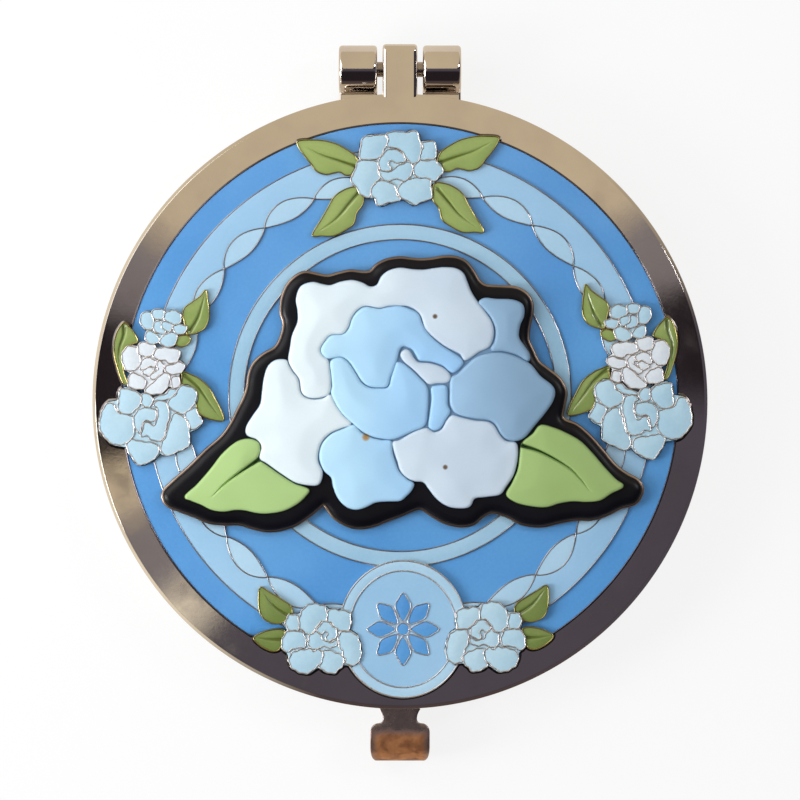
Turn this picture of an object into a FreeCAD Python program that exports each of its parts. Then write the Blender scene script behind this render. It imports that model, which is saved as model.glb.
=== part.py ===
"""Round folding pocket mirror with an enamelled plaque and a moulded flower badge on its lid.

Frame: origin at the centre of the face that the base rests on, +Z up, hinge at +Y, latch at -Y,
lid closed.  Millimetres.
"""
import FreeCAD
import Part
import Sketcher
import math
import os
from FreeCAD import Placement, Rotation, Vector

SIZES = {
    # Case
    "case_diameter": 65.0,
    "base_height": 3.7,
    "parting_gap": 0.1,
    "lid_height": 3.4,
    "base_floor": 1.0,
    "lid_skin": 1.0,
    "lid_bevel": 0.5,
    "foot_bevel": 0.5,
    "cut_overrun": 2.0,
    "edge_match": 0.0001,
    # Mirrors and their adhesive pads
    "rim_width": 4.8,
    "mirror_thickness": 1.3,
    "mirror_clearance": 0.2,
    "pad_side": 26.0,
    "pad_thickness": 0.3,
    # Hinge
    "knuckle_diameter": 5.1,
    "knuckle_width": 4.05,
    "knuckle_gap": 0.6,
    "lug_width": 3.65,
    "lug_root": 2.0,
    "lug_bridge": 1.4,
    "lug_corner": 0.7,
    "hinge_gap": 0.2,
    "web_root": 1.0,
    "web_height": 2.3,
    "pin_diameter": 1.6,
    "pin_clearance": 0.05,
    # Latch tongue and its catch
    "tongue_thickness": 0.6,
    "tongue_drop": 1.4,
    "tongue_reach": 5.8,
    "tongue_root": 1.8,
    "neck_width": 3.6,
    "neck_length": 1.4,
    "neck_corner": 0.4,
    "head_width": 6.3,
    "head_corner": 0.8,
    "bend_radius": 3.0,
    "hook_radius": 0.9,
    "hook_overlap": 0.3,
    "hook_lift": 0.4,
    "slot_clearance": 0.1,
    "slot_play": 0.3,
    "catch_width": 3.4,
    "catch_gap": 0.3,
    "catch_thickness": 1.2,
    "catch_root": 1.0,
    "catch_clearance": 0.3,
    "catch_nose": 0.45,
    # Enamelled plaque
    "plaque_margin": 3.0,
    "plaque_plate": 0.45,
    "ground_depth": 0.2,
    "band_depth": 0.15,
    "border_width": 0.35,
    "line_width": 0.25,
    "ring_width": 1.55,
    "boss_height": 0.5,
    "blossom_depth": 0.25,
    "medallion_band": 1.05,
    "rosette_depth": 0.15,
    # Moulded badge
    "badge_margin": 4.4,
    "badge_pad_thickness": 0.4,
    "badge_pad_clearance": 4.5,
    "badge_plate_thickness": 0.5,
    "badge_edge": 0.35,
    "backing_height": 0.45,
    "petal_height": 0.9,
    "petal_seam": 0.2,
    "vein_width": 0.5,
    "vein_depth": 0.3,
}

doc = FreeCAD.newDocument("compact_mirror")
sheet = doc.addObject("Spreadsheet::Sheet", "sizes")
for row, (alias, length) in enumerate(SIZES.items(), start=1):
    sheet.set(f"A{row}", alias)
    sheet.set(f"B{row}", str(length))
    sheet.setAlias(f"B{row}", alias)
doc.recompute()

# Places worked out from the sizes, as expressions on the sheet
CASE_RADIUS = "(sizes.case_diameter / 2)"
LID_BOTTOM = "(sizes.base_height + sizes.parting_gap)"
LID_TOP = f"({LID_BOTTOM} + sizes.lid_height)"
CEILING = f"({LID_TOP} - sizes.lid_skin)"
MIRROR_BAY = f"({CASE_RADIUS} - sizes.rim_width)"
MIRROR_RADIUS = f"({MIRROR_BAY} - sizes.mirror_clearance)"
KNUCKLE_RADIUS = "(sizes.knuckle_diameter / 2)"
AXIS_Y = f"({CASE_RADIUS} + sizes.hinge_gap + {KNUCKLE_RADIUS})"
AXIS_Z = f"({LID_TOP} - {KNUCKLE_RADIUS})"
HINGE_BACK = f"({AXIS_Y} + {KNUCKLE_RADIUS})"
HINGE_FRONT = f"({AXIS_Y} - {KNUCKLE_RADIUS})"
KNUCKLE_START = "(sizes.lug_width / 2 + sizes.knuckle_gap)"
HINGE_HALF = f"({KNUCKLE_START} + sizes.knuckle_width)"
TONGUE_TOP = f"({LID_TOP} - sizes.tongue_drop)"
TONGUE_UNDER = f"({TONGUE_TOP} - sizes.tongue_thickness)"
TONGUE_END = f"({CASE_RADIUS} + sizes.tongue_reach)"
TONGUE_ROOT = f"({CASE_RADIUS} - sizes.tongue_root)"
NECK_END = f"({CASE_RADIUS} + sizes.neck_length)"
HOOK_TOP = "(sizes.hook_lift + sizes.tongue_thickness)"
CATCH_END = f"({TONGUE_END} - sizes.tongue_thickness - sizes.catch_gap)"
HOOK_TIP = f"({CATCH_END} - sizes.hook_overlap)"
CATCH_UNDER = f"({HOOK_TOP} + sizes.catch_clearance)"
CATCH_TOP = f"({CATCH_UNDER} + sizes.catch_thickness)"
PLAQUE_RADIUS = f"({CASE_RADIUS} - sizes.plaque_margin)"
ENAMEL_FLOOR = f"({LID_TOP} + sizes.plaque_plate)"
GROUND_TOP = f"({ENAMEL_FLOOR} + sizes.ground_depth)"
BOSS_TOP = f"({GROUND_TOP} + sizes.boss_height)"
BLOSSOM_TOP = f"({BOSS_TOP} + sizes.blossom_depth)"
BADGE_WIDTH = f"(2 * ({PLAQUE_RADIUS} - sizes.badge_margin))"
BADGE_UNDER = f"({GROUND_TOP} + sizes.badge_pad_thickness)"
BACKING_UNDER = f"({BADGE_UNDER} + sizes.badge_plate_thickness)"
PETAL_UNDER = f"({BACKING_UNDER} + sizes.backing_height)"


def number(expression):
    """Value of an expression on the sheet."""
    return float(sheet.evalExpression(expression))


def size(alias):
    """Value of one named size."""
    return float(sheet.get(alias))


# Sketch and feature helpers


def sketch_on(body, name, role, offset="0"):
    """Sketch on one of the body's own origin planes, shifted along its normal."""
    sketch = body.newObject("Sketcher::SketchObject", name)
    plane = next(item for item in body.Origin.OriginFeatures if item.Role == role)
    sketch.AttachmentSupport = [(plane, "")]
    sketch.MapMode = "FlatFace"
    if offset != "0":
        sketch.setExpression("AttachmentOffset.Base.z", offset)
    return sketch


def place_point(sketch, geometry, spot, corner):
    """Tie one point of the sketch to the origin by two bound distances."""
    for kind, axis, expression in (("DistanceX", -2, corner[0]), ("DistanceY", -1, corner[1])):
        if expression == "0":
            sketch.addConstraint(Sketcher.Constraint("PointOnObject", geometry, spot, axis))
            continue
        held = Sketcher.Constraint(kind, -1, 1, geometry, spot, number(expression))
        index = sketch.addConstraint(held)
        sketch.setExpression(f"Constraints[{index}]", expression)


def draw_polygon(sketch, corners):
    """Closed outline of straight edges; each corner is a pair of expressions."""
    spots = [Vector(number(across), number(along), 0) for across, along in corners]
    count = len(spots)
    for index in range(count):
        sketch.addGeometry(Part.LineSegment(spots[index], spots[(index + 1) % count]))
    for index in range(count):
        sketch.addConstraint(Sketcher.Constraint("Coincident", index, 2, (index + 1) % count, 1))
    for index, corner in enumerate(corners):
        place_point(sketch, index, 1, corner)


def draw_circle(sketch, centre, radius):
    """Circle whose centre and radius are expressions."""
    middle = Vector(number(centre[0]), number(centre[1]), 0)
    circle = sketch.addGeometry(Part.Circle(middle, Vector(0, 0, 1), number(radius)))
    place_point(sketch, circle, 3, centre)
    index = sketch.addConstraint(Sketcher.Constraint("Radius", circle, number(radius)))
    sketch.setExpression(f"Constraints[{index}]", radius)


def revolve(body, name, corners):
    """Turn a profile of (radius, height) corners once round the Z axis."""
    sketch = sketch_on(body, f"{name}_profile", "XZ_Plane")
    draw_polygon(sketch, corners)
    feature = body.newObject("PartDesign::Revolution", name)
    feature.Profile = sketch
    feature.ReferenceAxis = (sketch, ["V_Axis"])
    doc.recompute()
    return feature


def pad(body, sketch, width, symmetric=True):
    """Raise a sketch into a solid, to both sides alike unless told otherwise."""
    feature = body.newObject("PartDesign::Pad", f"{sketch.Name}_pad")
    feature.Profile = sketch
    feature.setExpression("Length", width)
    feature.SideType = "Symmetric" if symmetric else "One side"
    doc.recompute()
    return feature


def pocket(body, sketch, width):
    """Cut a sketch out of the body, to both sides of the sketch alike, and make sure that it cuts."""
    before = body.Shape.Volume
    feature = body.newObject("PartDesign::Pocket", f"{sketch.Name}_pocket")
    feature.Profile = sketch
    feature.setExpression("Length", width)
    feature.SideType = "Symmetric"
    doc.recompute()
    if feature.Shape.Volume >= before:
        raise RuntimeError(f"{feature.Name} removes nothing")
    return feature


def dress_edges(body, kind, prop, amount, chosen):
    """Round or bevel the edges of the body's last feature that the test picks."""
    base = body.Tip
    names = [f"Edge{index}" for index, edge in enumerate(base.Shape.Edges, start=1) if chosen(edge)]
    if not names:
        raise RuntimeError(f"no edge to dress on {base.Name}")
    feature = body.newObject(f"PartDesign::{kind}", f"{base.Name}_{kind.lower()}")
    feature.Base = (base, names)
    feature.setExpression(prop, amount)
    doc.recompute()
    return feature


def edge_at(**places):
    """Test for edges whose whole length lies at the given x, y or z."""

    def chosen(edge):
        box = edge.BoundBox
        ends = []
        for axis, place in places.items():
            ends.append(getattr(box, f"{axis.upper()}Min") - place)
            ends.append(getattr(box, f"{axis.upper()}Max") - place)
        return max(map(abs, ends)) < size("edge_match")

    return chosen


def any_of(tests):
    """Test that passes an edge if any of the given tests does."""
    return lambda edge: any(test(edge) for test in tests)


def rim_edge(radius, height):
    """Test for a full circle of the given radius at the given height."""

    def chosen(edge):
        wide = edge.BoundBox.XLength - 2 * radius
        return edge_at(z=height)(edge) and abs(wide) < size("edge_match")

    return chosen


# Base shell


def make_base_shell():
    """Tray with mirror bay, two knuckles at the back and the latch catch at the front."""
    body = doc.addObject("PartDesign::Body", "base_shell")
    revolve(body, "base_tray", [
        ("0", "0"),
        (CASE_RADIUS, "0"),
        (CASE_RADIUS, "sizes.base_height"),
        (MIRROR_BAY, "sizes.base_height"),
        (MIRROR_BAY, "sizes.base_floor"),
        ("0", "sizes.base_floor"),
    ])
    dress_edges(body, "Chamfer", "Size", "sizes.foot_bevel", rim_edge(number(CASE_RADIUS), 0))

    web_front = f"({CASE_RADIUS} - sizes.web_root)"
    web_under = "(sizes.base_height - sizes.web_height)"
    starts = {"left": f"-{HINGE_HALF}", "right": KNUCKLE_START}
    for side, start in starts.items():
        web = sketch_on(body, f"web_{side}", "YZ_Plane", start)
        draw_polygon(web, [
            (web_front, web_under),
            (HINGE_FRONT, web_under),
            (AXIS_Y, f"({AXIS_Z} - {KNUCKLE_RADIUS})"),
            (AXIS_Y, "sizes.base_height"),
            (web_front, "sizes.base_height"),
        ])
        pad(body, web, "sizes.knuckle_width", symmetric=False)
        barrel = sketch_on(body, f"barrel_{side}", "YZ_Plane", start)
        draw_circle(barrel, (AXIS_Y, AXIS_Z), KNUCKLE_RADIUS)
        pad(body, barrel, "sizes.knuckle_width", symmetric=False)
    bore = sketch_on(body, "knuckle_bore", "YZ_Plane")
    draw_circle(bore, (AXIS_Y, AXIS_Z), "sizes.pin_diameter / 2")
    pocket(body, bore, f"2 * {HINGE_HALF} + sizes.cut_overrun")

    catch = sketch_on(body, "catch", "YZ_Plane")
    catch_root = f"-({CASE_RADIUS} - sizes.catch_root)"
    draw_polygon(catch, [
        (catch_root, CATCH_UNDER),
        (f"-{CATCH_END}", CATCH_UNDER),
        (f"-{CATCH_END}", CATCH_TOP),
        (catch_root, CATCH_TOP),
    ])
    pad(body, catch, "sizes.catch_width")
    front = -number(CATCH_END)
    nose = [edge_at(y=front, z=number(place)) for place in (CATCH_UNDER, CATCH_TOP)]
    dress_edges(body, "Fillet", "Radius", "sizes.catch_nose", any_of(nose))
    return body


# Lid shell


def make_lid_shell():
    """Cover with mirror bay, hinge lug at the back and tongue slot in front."""
    body = doc.addObject("PartDesign::Body", "lid_shell")
    revolve(body, "lid_cover", [
        ("0", LID_TOP),
        ("0", CEILING),
        (MIRROR_BAY, CEILING),
        (MIRROR_BAY, LID_BOTTOM),
        (CASE_RADIUS, LID_BOTTOM),
        (CASE_RADIUS, LID_TOP),
    ])
    dress_edges(body, "Chamfer", "Size", "sizes.lid_bevel", rim_edge(number(CASE_RADIUS), number(LID_TOP)))

    lug_front = f"({CASE_RADIUS} - sizes.lug_root)"
    bridge_under = f"({LID_TOP} - sizes.lug_bridge)"
    lug = sketch_on(body, "lug", "YZ_Plane")
    draw_polygon(lug, [
        (lug_front, LID_TOP),
        (HINGE_BACK, LID_TOP),
        (HINGE_BACK, AXIS_Z),
        (HINGE_FRONT, AXIS_Z),
        (HINGE_FRONT, bridge_under),
        (lug_front, bridge_under),
    ])
    pad(body, lug, "sizes.lug_width")
    corner = edge_at(y=number(HINGE_BACK), z=number(LID_TOP))
    dress_edges(body, "Fillet", "Radius", "sizes.lug_corner", corner)
    barrel = sketch_on(body, "lug_barrel", "YZ_Plane")
    draw_circle(barrel, (AXIS_Y, AXIS_Z), KNUCKLE_RADIUS)
    pad(body, barrel, "sizes.lug_width")
    bore = sketch_on(body, "lug_bore", "YZ_Plane")
    draw_circle(bore, (AXIS_Y, AXIS_Z), "sizes.pin_diameter / 2 + sizes.pin_clearance")
    pocket(body, bore, "sizes.lug_width + sizes.cut_overrun")

    slot = sketch_on(body, "tongue_slot", "YZ_Plane")
    slot_back = f"-({TONGUE_ROOT} - sizes.slot_clearance)"
    slot_mouth = f"-({CASE_RADIUS} + sizes.cut_overrun)"
    draw_polygon(slot, [
        (slot_back, f"({TONGUE_UNDER} - sizes.slot_play)"),
        (slot_mouth, f"({TONGUE_UNDER} - sizes.slot_play)"),
        (slot_mouth, f"({TONGUE_TOP} + sizes.slot_clearance)"),
        (slot_back, f"({TONGUE_TOP} + sizes.slot_clearance)"),
    ])
    pocket(body, slot, "sizes.neck_width + 2 * sizes.slot_clearance")
    return body


# Pin, mirrors and adhesive pads


def make_hinge_pin():
    """Plain pin through both knuckles and the lug."""
    pin = doc.addObject("Part::Cylinder", "hinge_pin")
    pin.setExpression("Radius", "sizes.pin_diameter / 2")
    pin.setExpression("Height", f"2 * {HINGE_HALF}")
    pin.Placement = Placement(Vector(), Rotation(Vector(0, 1, 0), 90))
    pin.setExpression("Placement.Base.x", f"-{HINGE_HALF}")
    pin.setExpression("Placement.Base.y", AXIS_Y)
    pin.setExpression("Placement.Base.z", AXIS_Z)
    return pin


def make_mirror(label, under):
    """Round glass mirror with its lower face at the given height."""
    glass = doc.addObject("Part::Cylinder", label)
    glass.setExpression("Radius", MIRROR_RADIUS)
    glass.setExpression("Height", "sizes.mirror_thickness")
    glass.setExpression("Placement.Base.z", under)
    return glass


def make_foam(label, half, thickness, under):
    """Square of adhesive foam of the given half side, with its lower face at the given height."""
    foam = doc.addObject("Part::Box", label)
    foam.setExpression("Length", f"2 * {half}")
    foam.setExpression("Width", f"2 * {half}")
    foam.setExpression("Height", thickness)
    foam.setExpression("Placement.Base.x", f"-{half}")
    foam.setExpression("Placement.Base.y", f"-{half}")
    foam.setExpression("Placement.Base.z", under)
    return foam


# Latch tongue


def make_latch_tongue():
    """Springy strip with a T-shaped head, bent down and hooked back under the catch."""
    side = doc.addObject("PartDesign::Body", "tongue_side")
    bend = sketch_on(side, "tongue_bend", "YZ_Plane")
    inner = f"-({TONGUE_END} - sizes.tongue_thickness)"
    draw_polygon(bend, [
        (f"-{TONGUE_ROOT}", TONGUE_TOP),
        (f"-{TONGUE_END}", TONGUE_TOP),
        (f"-{TONGUE_END}", "sizes.hook_lift"),
        (f"-{HOOK_TIP}", "sizes.hook_lift"),
        (f"-{HOOK_TIP}", HOOK_TOP),
        (inner, HOOK_TOP),
        (inner, TONGUE_UNDER),
        (f"-{TONGUE_ROOT}", TONGUE_UNDER),
    ])
    pad(side, bend, "sizes.head_width")
    outer_face = -number(TONGUE_END)
    inner_face = number(inner)
    rounds = [
        (outer_face, TONGUE_TOP, "sizes.bend_radius"),
        (inner_face, TONGUE_UNDER, "sizes.bend_radius - sizes.tongue_thickness"),
        (outer_face, "sizes.hook_lift", "sizes.hook_radius"),
        (inner_face, HOOK_TOP, "sizes.hook_radius - sizes.tongue_thickness"),
    ]
    for face, height, radius in rounds:
        dress_edges(side, "Fillet", "Radius", radius, edge_at(y=face, z=number(height)))

    plan = doc.addObject("PartDesign::Body", "tongue_plan")
    tee = sketch_on(plan, "tongue_tee", "XY_Plane")
    root = f"-({TONGUE_ROOT} - sizes.cut_overrun)"
    half_neck = "(sizes.neck_width / 2)"
    half_head = "(sizes.head_width / 2)"
    draw_polygon(tee, [
        (f"-{half_neck}", root),
        (half_neck, root),
        (half_neck, f"-{NECK_END}"),
        (half_head, f"-{NECK_END}"),
        (half_head, f"-{TONGUE_END}"),
        (f"-{half_head}", f"-{TONGUE_END}"),
        (f"-{half_head}", f"-{NECK_END}"),
        (f"-{half_neck}", f"-{NECK_END}"),
    ])
    pad(plan, tee, LID_TOP, symmetric=False)
    for half, corner in ((half_head, "sizes.head_corner"), (half_neck, "sizes.neck_corner")):
        reach = number(half)
        uprights = [
            edge_at(x=turn * reach, y=-number(along))
            for turn in (-1, 1)
            for along in (NECK_END, TONGUE_END)
        ]
        dress_edges(plan, "Fillet", "Radius", corner, any_of(uprights))

    tongue = doc.addObject("Part::Common", "latch_tongue")
    tongue.Base = side
    tongue.Tool = plan
    return tongue


# Flat shapes for the plaque and the badge

FLATS_PER_ARC = 5


def closed_face(edges):
    """Face inside a closed run of edges."""
    return Part.Face(Part.Wire(edges))


def disc_face(radius, centre=Vector()):
    """Round face."""
    return closed_face([Part.makeCircle(radius, centre)])


def oval_face(half_width, half_height, centre):
    """Upright oval face."""
    tall = centre + Vector(0, half_height, 0)
    wide = centre + Vector(half_width, 0, 0)
    return closed_face([Part.Ellipse(tall, wide, centre).toShape()])


def polygon_face(points):
    """Face inside a closed run of straight edges."""
    return Part.Face(Part.makePolygon(points + points[:1]))


def arc_face(points, grow=0.0):
    """Face inside a closed run of arcs, each through three points in turn, moved outwards by grow.

    Even points are the ends of the arcs and odd points lie on them.  Each arc is cut into a few flats.
    """
    count = len(points)
    if grow:
        turning = sum(points[i - 1].cross(points[i]).z for i in range(count))
        up = Vector(0, 0, math.copysign(1, turning))
        headings = [(points[(i + 1) % count] - points[i - 1]).normalize() for i in range(count)]
        points = [point + heading.cross(up) * grow for point, heading in zip(points, headings)]
    corners = []
    for start, middle, end in zip(points[::2], points[1::2], points[2::2] + points[:1]):
        corners += Part.Arc(start, middle, end).toShape().discretize(Number=FLATS_PER_ARC + 1)[:-1]
    return polygon_face(corners)


def polar(radius, angle, centre=Vector()):
    """Point at a radius and an angle, counted clockwise from the back, about a centre."""
    return centre + Vector(radius * math.sin(angle), radius * math.cos(angle), 0)


def raised(shapes, height):
    """Each face of the flat shapes raised to a solid."""
    return [face.extrude(Vector(0, 0, height)) for shape in shapes for face in shape.Faces]


def add_feature(label, solids, level):
    """Document object at the given level for the solids of one sub-part."""
    feature = doc.addObject("Part::Feature", label)
    feature.Shape = solids[0] if len(solids) == 1 else Part.makeCompound(solids)
    feature.Placement = Placement(Vector(0, 0, level), Rotation())
    return feature


# Small ornaments of the plaque: places, reaches and widths are shares of the plaque's radius

# Blossoms, front to back: place across, place along, reach, petals, first turn in wedges, colour
BLOSSOM_SHARES = [
    (0.000, 0.824, 0.150, 8, 0.15, "pale"),
    (0.871, -0.078, 0.163, 8, 0.30, "pale"),
    (0.868, 0.125, 0.110, 7, 0.10, "white"),
    (0.831, 0.275, 0.076, 6, 0.40, "pale"),
    (0.290, -0.847, 0.136, 8, 0.25, "pale"),
]
# Leaves: base across and along, tip across and along, width
LEAF_SHARES = [
    (0.120, 0.850, 0.358, 0.936, 0.105),
    (0.110, 0.780, 0.305, 0.598, 0.105),
    (0.790, 0.180, 0.685, 0.403, 0.100),
    (0.955, 0.040, 0.973, 0.292, 0.085),
    (0.790, 0.100, 0.628, -0.050, 0.105),
    (0.380, -0.800, 0.517, -0.657, 0.085),
    (0.380, -0.850, 0.534, -0.845, 0.075),
]
# Side of a leaf: share of its length, share of its half width
LEAF_SIDE_SHARES = [(0.22, 0.78), (0.48, 1.00), (0.76, 0.66)]
# One petal of a blossom: share of its wedge to each side, share of the blossom's reach
PETAL_SHARES = [(-0.42, 0.50), (-0.45, 0.86), (-0.10, 1.00), (0.40, 0.96), (0.42, 0.50)]
BUD_SHARES = [(-0.40, 0.12), (-0.43, 0.43), (0.42, 0.42), (0.40, 0.12)]
BOSS_SHARES = [(-0.40, 0.94), (0.05, 1.00), (0.44, 0.94)]
BUD_PETALS = 3
# One petal of the medallion's rosette
ROSETTE_SHARES = [(0.00, 0.22), (-0.40, 0.62), (0.00, 1.00), (0.40, 0.62)]
ROSETTE_PETALS = 8
# Bands of the plaque: reach of the garland, ribbon and inner ring, swing of the ribbon, rise of the ring
BAND_SHARES = (0.905, 0.786, 0.612, 0.034, 0.020)
# Medallion: half its width and height, its place towards the front, reach of its rosette
MEDALLION_SHARES = (0.227, 0.244, 0.814, 0.125)
# Straight cut across the front of the plaque, under the front ornaments: its place towards the front
FRONT_CUT_SHARE = 0.844
RIBBON_LENSES = 24
LENS_STEPS = 4
FIRST_LENS_SHARE = 0.47


def wedge_points(shares, centre, reach, count, index, turn, grow=0.0):
    """Corners of one petal in its wedge of a blossom."""
    wedge = 2 * math.pi / count
    middle = (index + turn) * wedge
    return [polar(along * reach + grow, middle + across * wedge, centre) for across, along in shares]


def ring_of_petals(shares, centre, reach, count, turn):
    """The same petal in every wedge round a centre."""
    return [polygon_face(wedge_points(shares, centre, reach, count, index, turn)) for index in range(count)]


def blossom_faces(centre, reach, count, turn):
    """Outer petals and the bud petals of one blossom."""
    petals = ring_of_petals(PETAL_SHARES, centre, reach, count, turn)
    return petals + ring_of_petals(BUD_SHARES, centre, reach, BUD_PETALS, turn)


def blossom_outline(centre, reach, count, turn, line):
    """Outline of a blossom's metal boss, one line outside its petals."""
    points = []
    for index in range(count):
        points += wedge_points(BOSS_SHARES, centre, reach, count, index, turn, grow=line)
    return polygon_face(points)


def leaf_side(base, tip, out):
    """Corners along one side of a leaf, from its base to its tip."""
    return [base + (tip - base) * along + out * across for along, across in LEAF_SIDE_SHARES]


def leaf_faces(base, tip, half_width, line):
    """The two halves of a leaf, either side of its midrib."""
    along = (tip - base).normalize()
    halves = []
    for side in (1, -1):
        out = Vector(-along.y, along.x, 0) * side
        rib = out * (line / 2)
        halves.append(polygon_face([base + rib] + leaf_side(base, tip, out * half_width) + [tip + rib / 2]))
    return halves


def leaf_outline(base, tip, half_width, line):
    """Outline of a leaf's metal boss, one line outside the leaf."""
    along = (tip - base).normalize()
    out = Vector(-along.y, along.x, 0) * (half_width + line)
    root = base - along * line
    point = tip + along * line
    left = leaf_side(root, point, out)
    right = leaf_side(root, point, -out)
    return polygon_face([root] + left + [point] + right[::-1])


def strand_points(first, last, radius, swing):
    """Points of one ribbon strand between two crossings: it swings out by half a sine wave."""
    step = 2 * math.pi / RIBBON_LENSES
    shares = [index / LENS_STEPS for index in range(LENS_STEPS)]
    angles = [(first + FIRST_LENS_SHARE + (last - first) * share) * step for share in shares]
    swings = [swing * math.sin(math.pi * share) for share in shares]
    return [polar(radius + out, angle) for out, angle in zip(swings, angles)]


def strand_face(radius, swing):
    """Face inside a ribbon strand that swings the same way in every lens."""
    points = []
    for index in range(RIBBON_LENSES):
        points += strand_points(index, index + 1, radius, swing)
    return polygon_face(points)


def ribbon_lens(index, radius, swing, line):
    """Lens-shaped cell between two crossings of the ribbon's strands."""
    pinch = line / radius * RIBBON_LENSES / (2 * math.pi)
    first = index + pinch
    last = index + 1 - pinch
    inside = swing - line / 2
    outer = strand_points(first, last, radius, inside)
    inner = strand_points(last, first, radius, -inside)
    return polygon_face(outer + inner)


class Ornaments:
    """Flat shapes of the small flowers, leaves and medallion, cut front to back, and of their bosses."""

    def __init__(self, keep_out):
        self.keep_out = keep_out
        self.bosses = []
        self.fills = {"pale": [], "white": [], "leaf": [], "ring": [], "disc": [], "rosette": []}

    def add(self, kind, faces, outline):
        """Take in one ornament behind those already there."""
        hidden = [self.keep_out] + self.bosses
        least = size("line_width") ** 2
        for face in faces:
            self.fills[kind] += [piece for piece in face.cut(hidden).Faces if piece.Area > least]
        self.bosses.append(outline.cut(self.keep_out))


def draw_ornaments(keep_out):
    """All small ornaments, the front ones first; those off the middle come in mirrored pairs."""
    radius = number(PLAQUE_RADIUS)
    line = size("line_width")
    ornaments = Ornaments(keep_out)
    for across, along, reach, count, turn, colour in BLOSSOM_SHARES:
        for side in (1, -1) if across else (1,):
            centre = Vector(side * across, along, 0) * radius
            shape = (centre, reach * radius, count, turn * side)
            ornaments.add(colour, blossom_faces(*shape), blossom_outline(*shape, line))
    for base_across, base_along, tip_across, tip_along, width in LEAF_SHARES:
        for side in (1, -1):
            base = Vector(side * base_across, base_along, 0) * radius
            tip = Vector(side * tip_across, tip_along, 0) * radius
            shape = (base, tip, width * radius / 2, line)
            ornaments.add("leaf", leaf_faces(*shape), leaf_outline(*shape))
    draw_medallion(ornaments)
    return ornaments


def draw_medallion(ornaments):
    """Oval medallion behind the flowers: pale ring, pale disc and a small rosette on it."""
    wide, tall, place, reach = (share * number(PLAQUE_RADIUS) for share in MEDALLION_SHARES)
    line = size("line_width")
    band = size("medallion_band")
    centre = Vector(0, -place, 0)
    ring = oval_face(wide - line, tall - line, centre).cut(oval_face(wide - band, tall - band, centre))
    disc = oval_face(wide - band - line, tall - band - line, centre)
    ornaments.add("disc", [disc], disc)
    ornaments.bosses.pop()
    ornaments.add("ring", [ring], oval_face(wide, tall, centre))
    ornaments.fills["rosette"] = ring_of_petals(ROSETTE_SHARES, centre, reach, ROSETTE_PETALS, 0)


# Plaque and its enamels


def front_face():
    """Flat area in front of the straight cut across the plaque."""
    reach = number(CASE_RADIUS)
    cut = -FRONT_CUT_SHARE * number(PLAQUE_RADIUS)
    return polygon_face([Vector(side * reach, along, 0) for side, along in
                         ((-1, cut), (-1, -reach), (1, -reach), (1, cut))])


def make_plaque(ornaments):
    """Plate glued on the lid, with a foot on the lid under each part of an ornament that overhangs it."""
    outline = disc_face(number(PLAQUE_RADIUS)).cut(front_face())
    plate = raised([outline], size("plaque_plate"))[0]
    overhangs = [boss.cut(outline) for boss in ornaments.bosses]
    feet = raised(overhangs, size("plaque_plate") + size("ground_depth"))
    return add_feature("plaque_plate", plate.multiFuse(feet).removeSplitter().Solids, number(LID_TOP))


def make_ground():
    """Blue coat over the plate, with the plate's edge left bare round it."""
    outline = disc_face(number(f"{PLAQUE_RADIUS} - sizes.border_width")).cut(front_face())
    return add_feature("ground_enamel", raised([outline], size("ground_depth")), number(ENAMEL_FLOOR))


def make_mounts(ornaments):
    """Struck metal mounts of the flowers, leaves and medallion, which stand on the ground coat."""
    first, *others = raised(ornaments.bosses, size("boss_height"))
    clusters = first.multiFuse(others).removeSplitter()
    return add_feature("ornament_mounts", clusters.Solids, number(GROUND_TOP))


def make_ring_enamels(ornaments):
    """Pale cells on the ground coat: the garland band, the twisted ribbon and the inner ring."""
    line = size("line_width")
    garland, ribbon, ring_outer, swing, rise = (share * number(PLAQUE_RADIUS) for share in BAND_SHARES)
    ring_inner = ring_outer - size("ring_width")
    middle = Vector(0, rise, 0)
    band = disc_face(garland).cut(strand_face(ribbon + line / 2, swing + line / 2))
    lenses = [ribbon_lens(index, ribbon, swing, line) for index in range(RIBBON_LENSES)]
    ring = disc_face(ring_outer, middle).cut(disc_face(ring_inner, middle))
    cells = {"garland_band_enamel": [band], "ribbon_enamel": lenses, "inner_ring_enamel": [ring]}
    least = line ** 2
    covered = ornaments.bosses + [front_face()]
    features = []
    for label, faces in cells.items():
        seen = [piece for face in faces for piece in face.cut(covered).Faces if piece.Area > least]
        features.append(add_feature(label, raised(seen, size("band_depth")), number(GROUND_TOP)))
    return features


def make_ornament_enamels(ornaments):
    """Fills on top of the mounts, and the medallion's rosette on its disc."""
    fills = [
        ("pale", "blossom_pale_enamel", "blossom_depth", BOSS_TOP),
        ("white", "blossom_white_enamel", "blossom_depth", BOSS_TOP),
        ("leaf", "leaf_enamel", "blossom_depth", BOSS_TOP),
        ("ring", "medallion_ring_enamel", "blossom_depth", BOSS_TOP),
        ("disc", "medallion_disc_enamel", "blossom_depth", BOSS_TOP),
        ("rosette", "medallion_rosette_enamel", "rosette_depth", BLOSSOM_TOP),
    ]
    return [
        add_feature(label, raised(ornaments.fills[kind], size(depth)), number(level))
        for kind, label, depth, level in fills
    ]


# Moulded badge: outlines in shares of the badge's width, from the middle of the case, front to back

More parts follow.
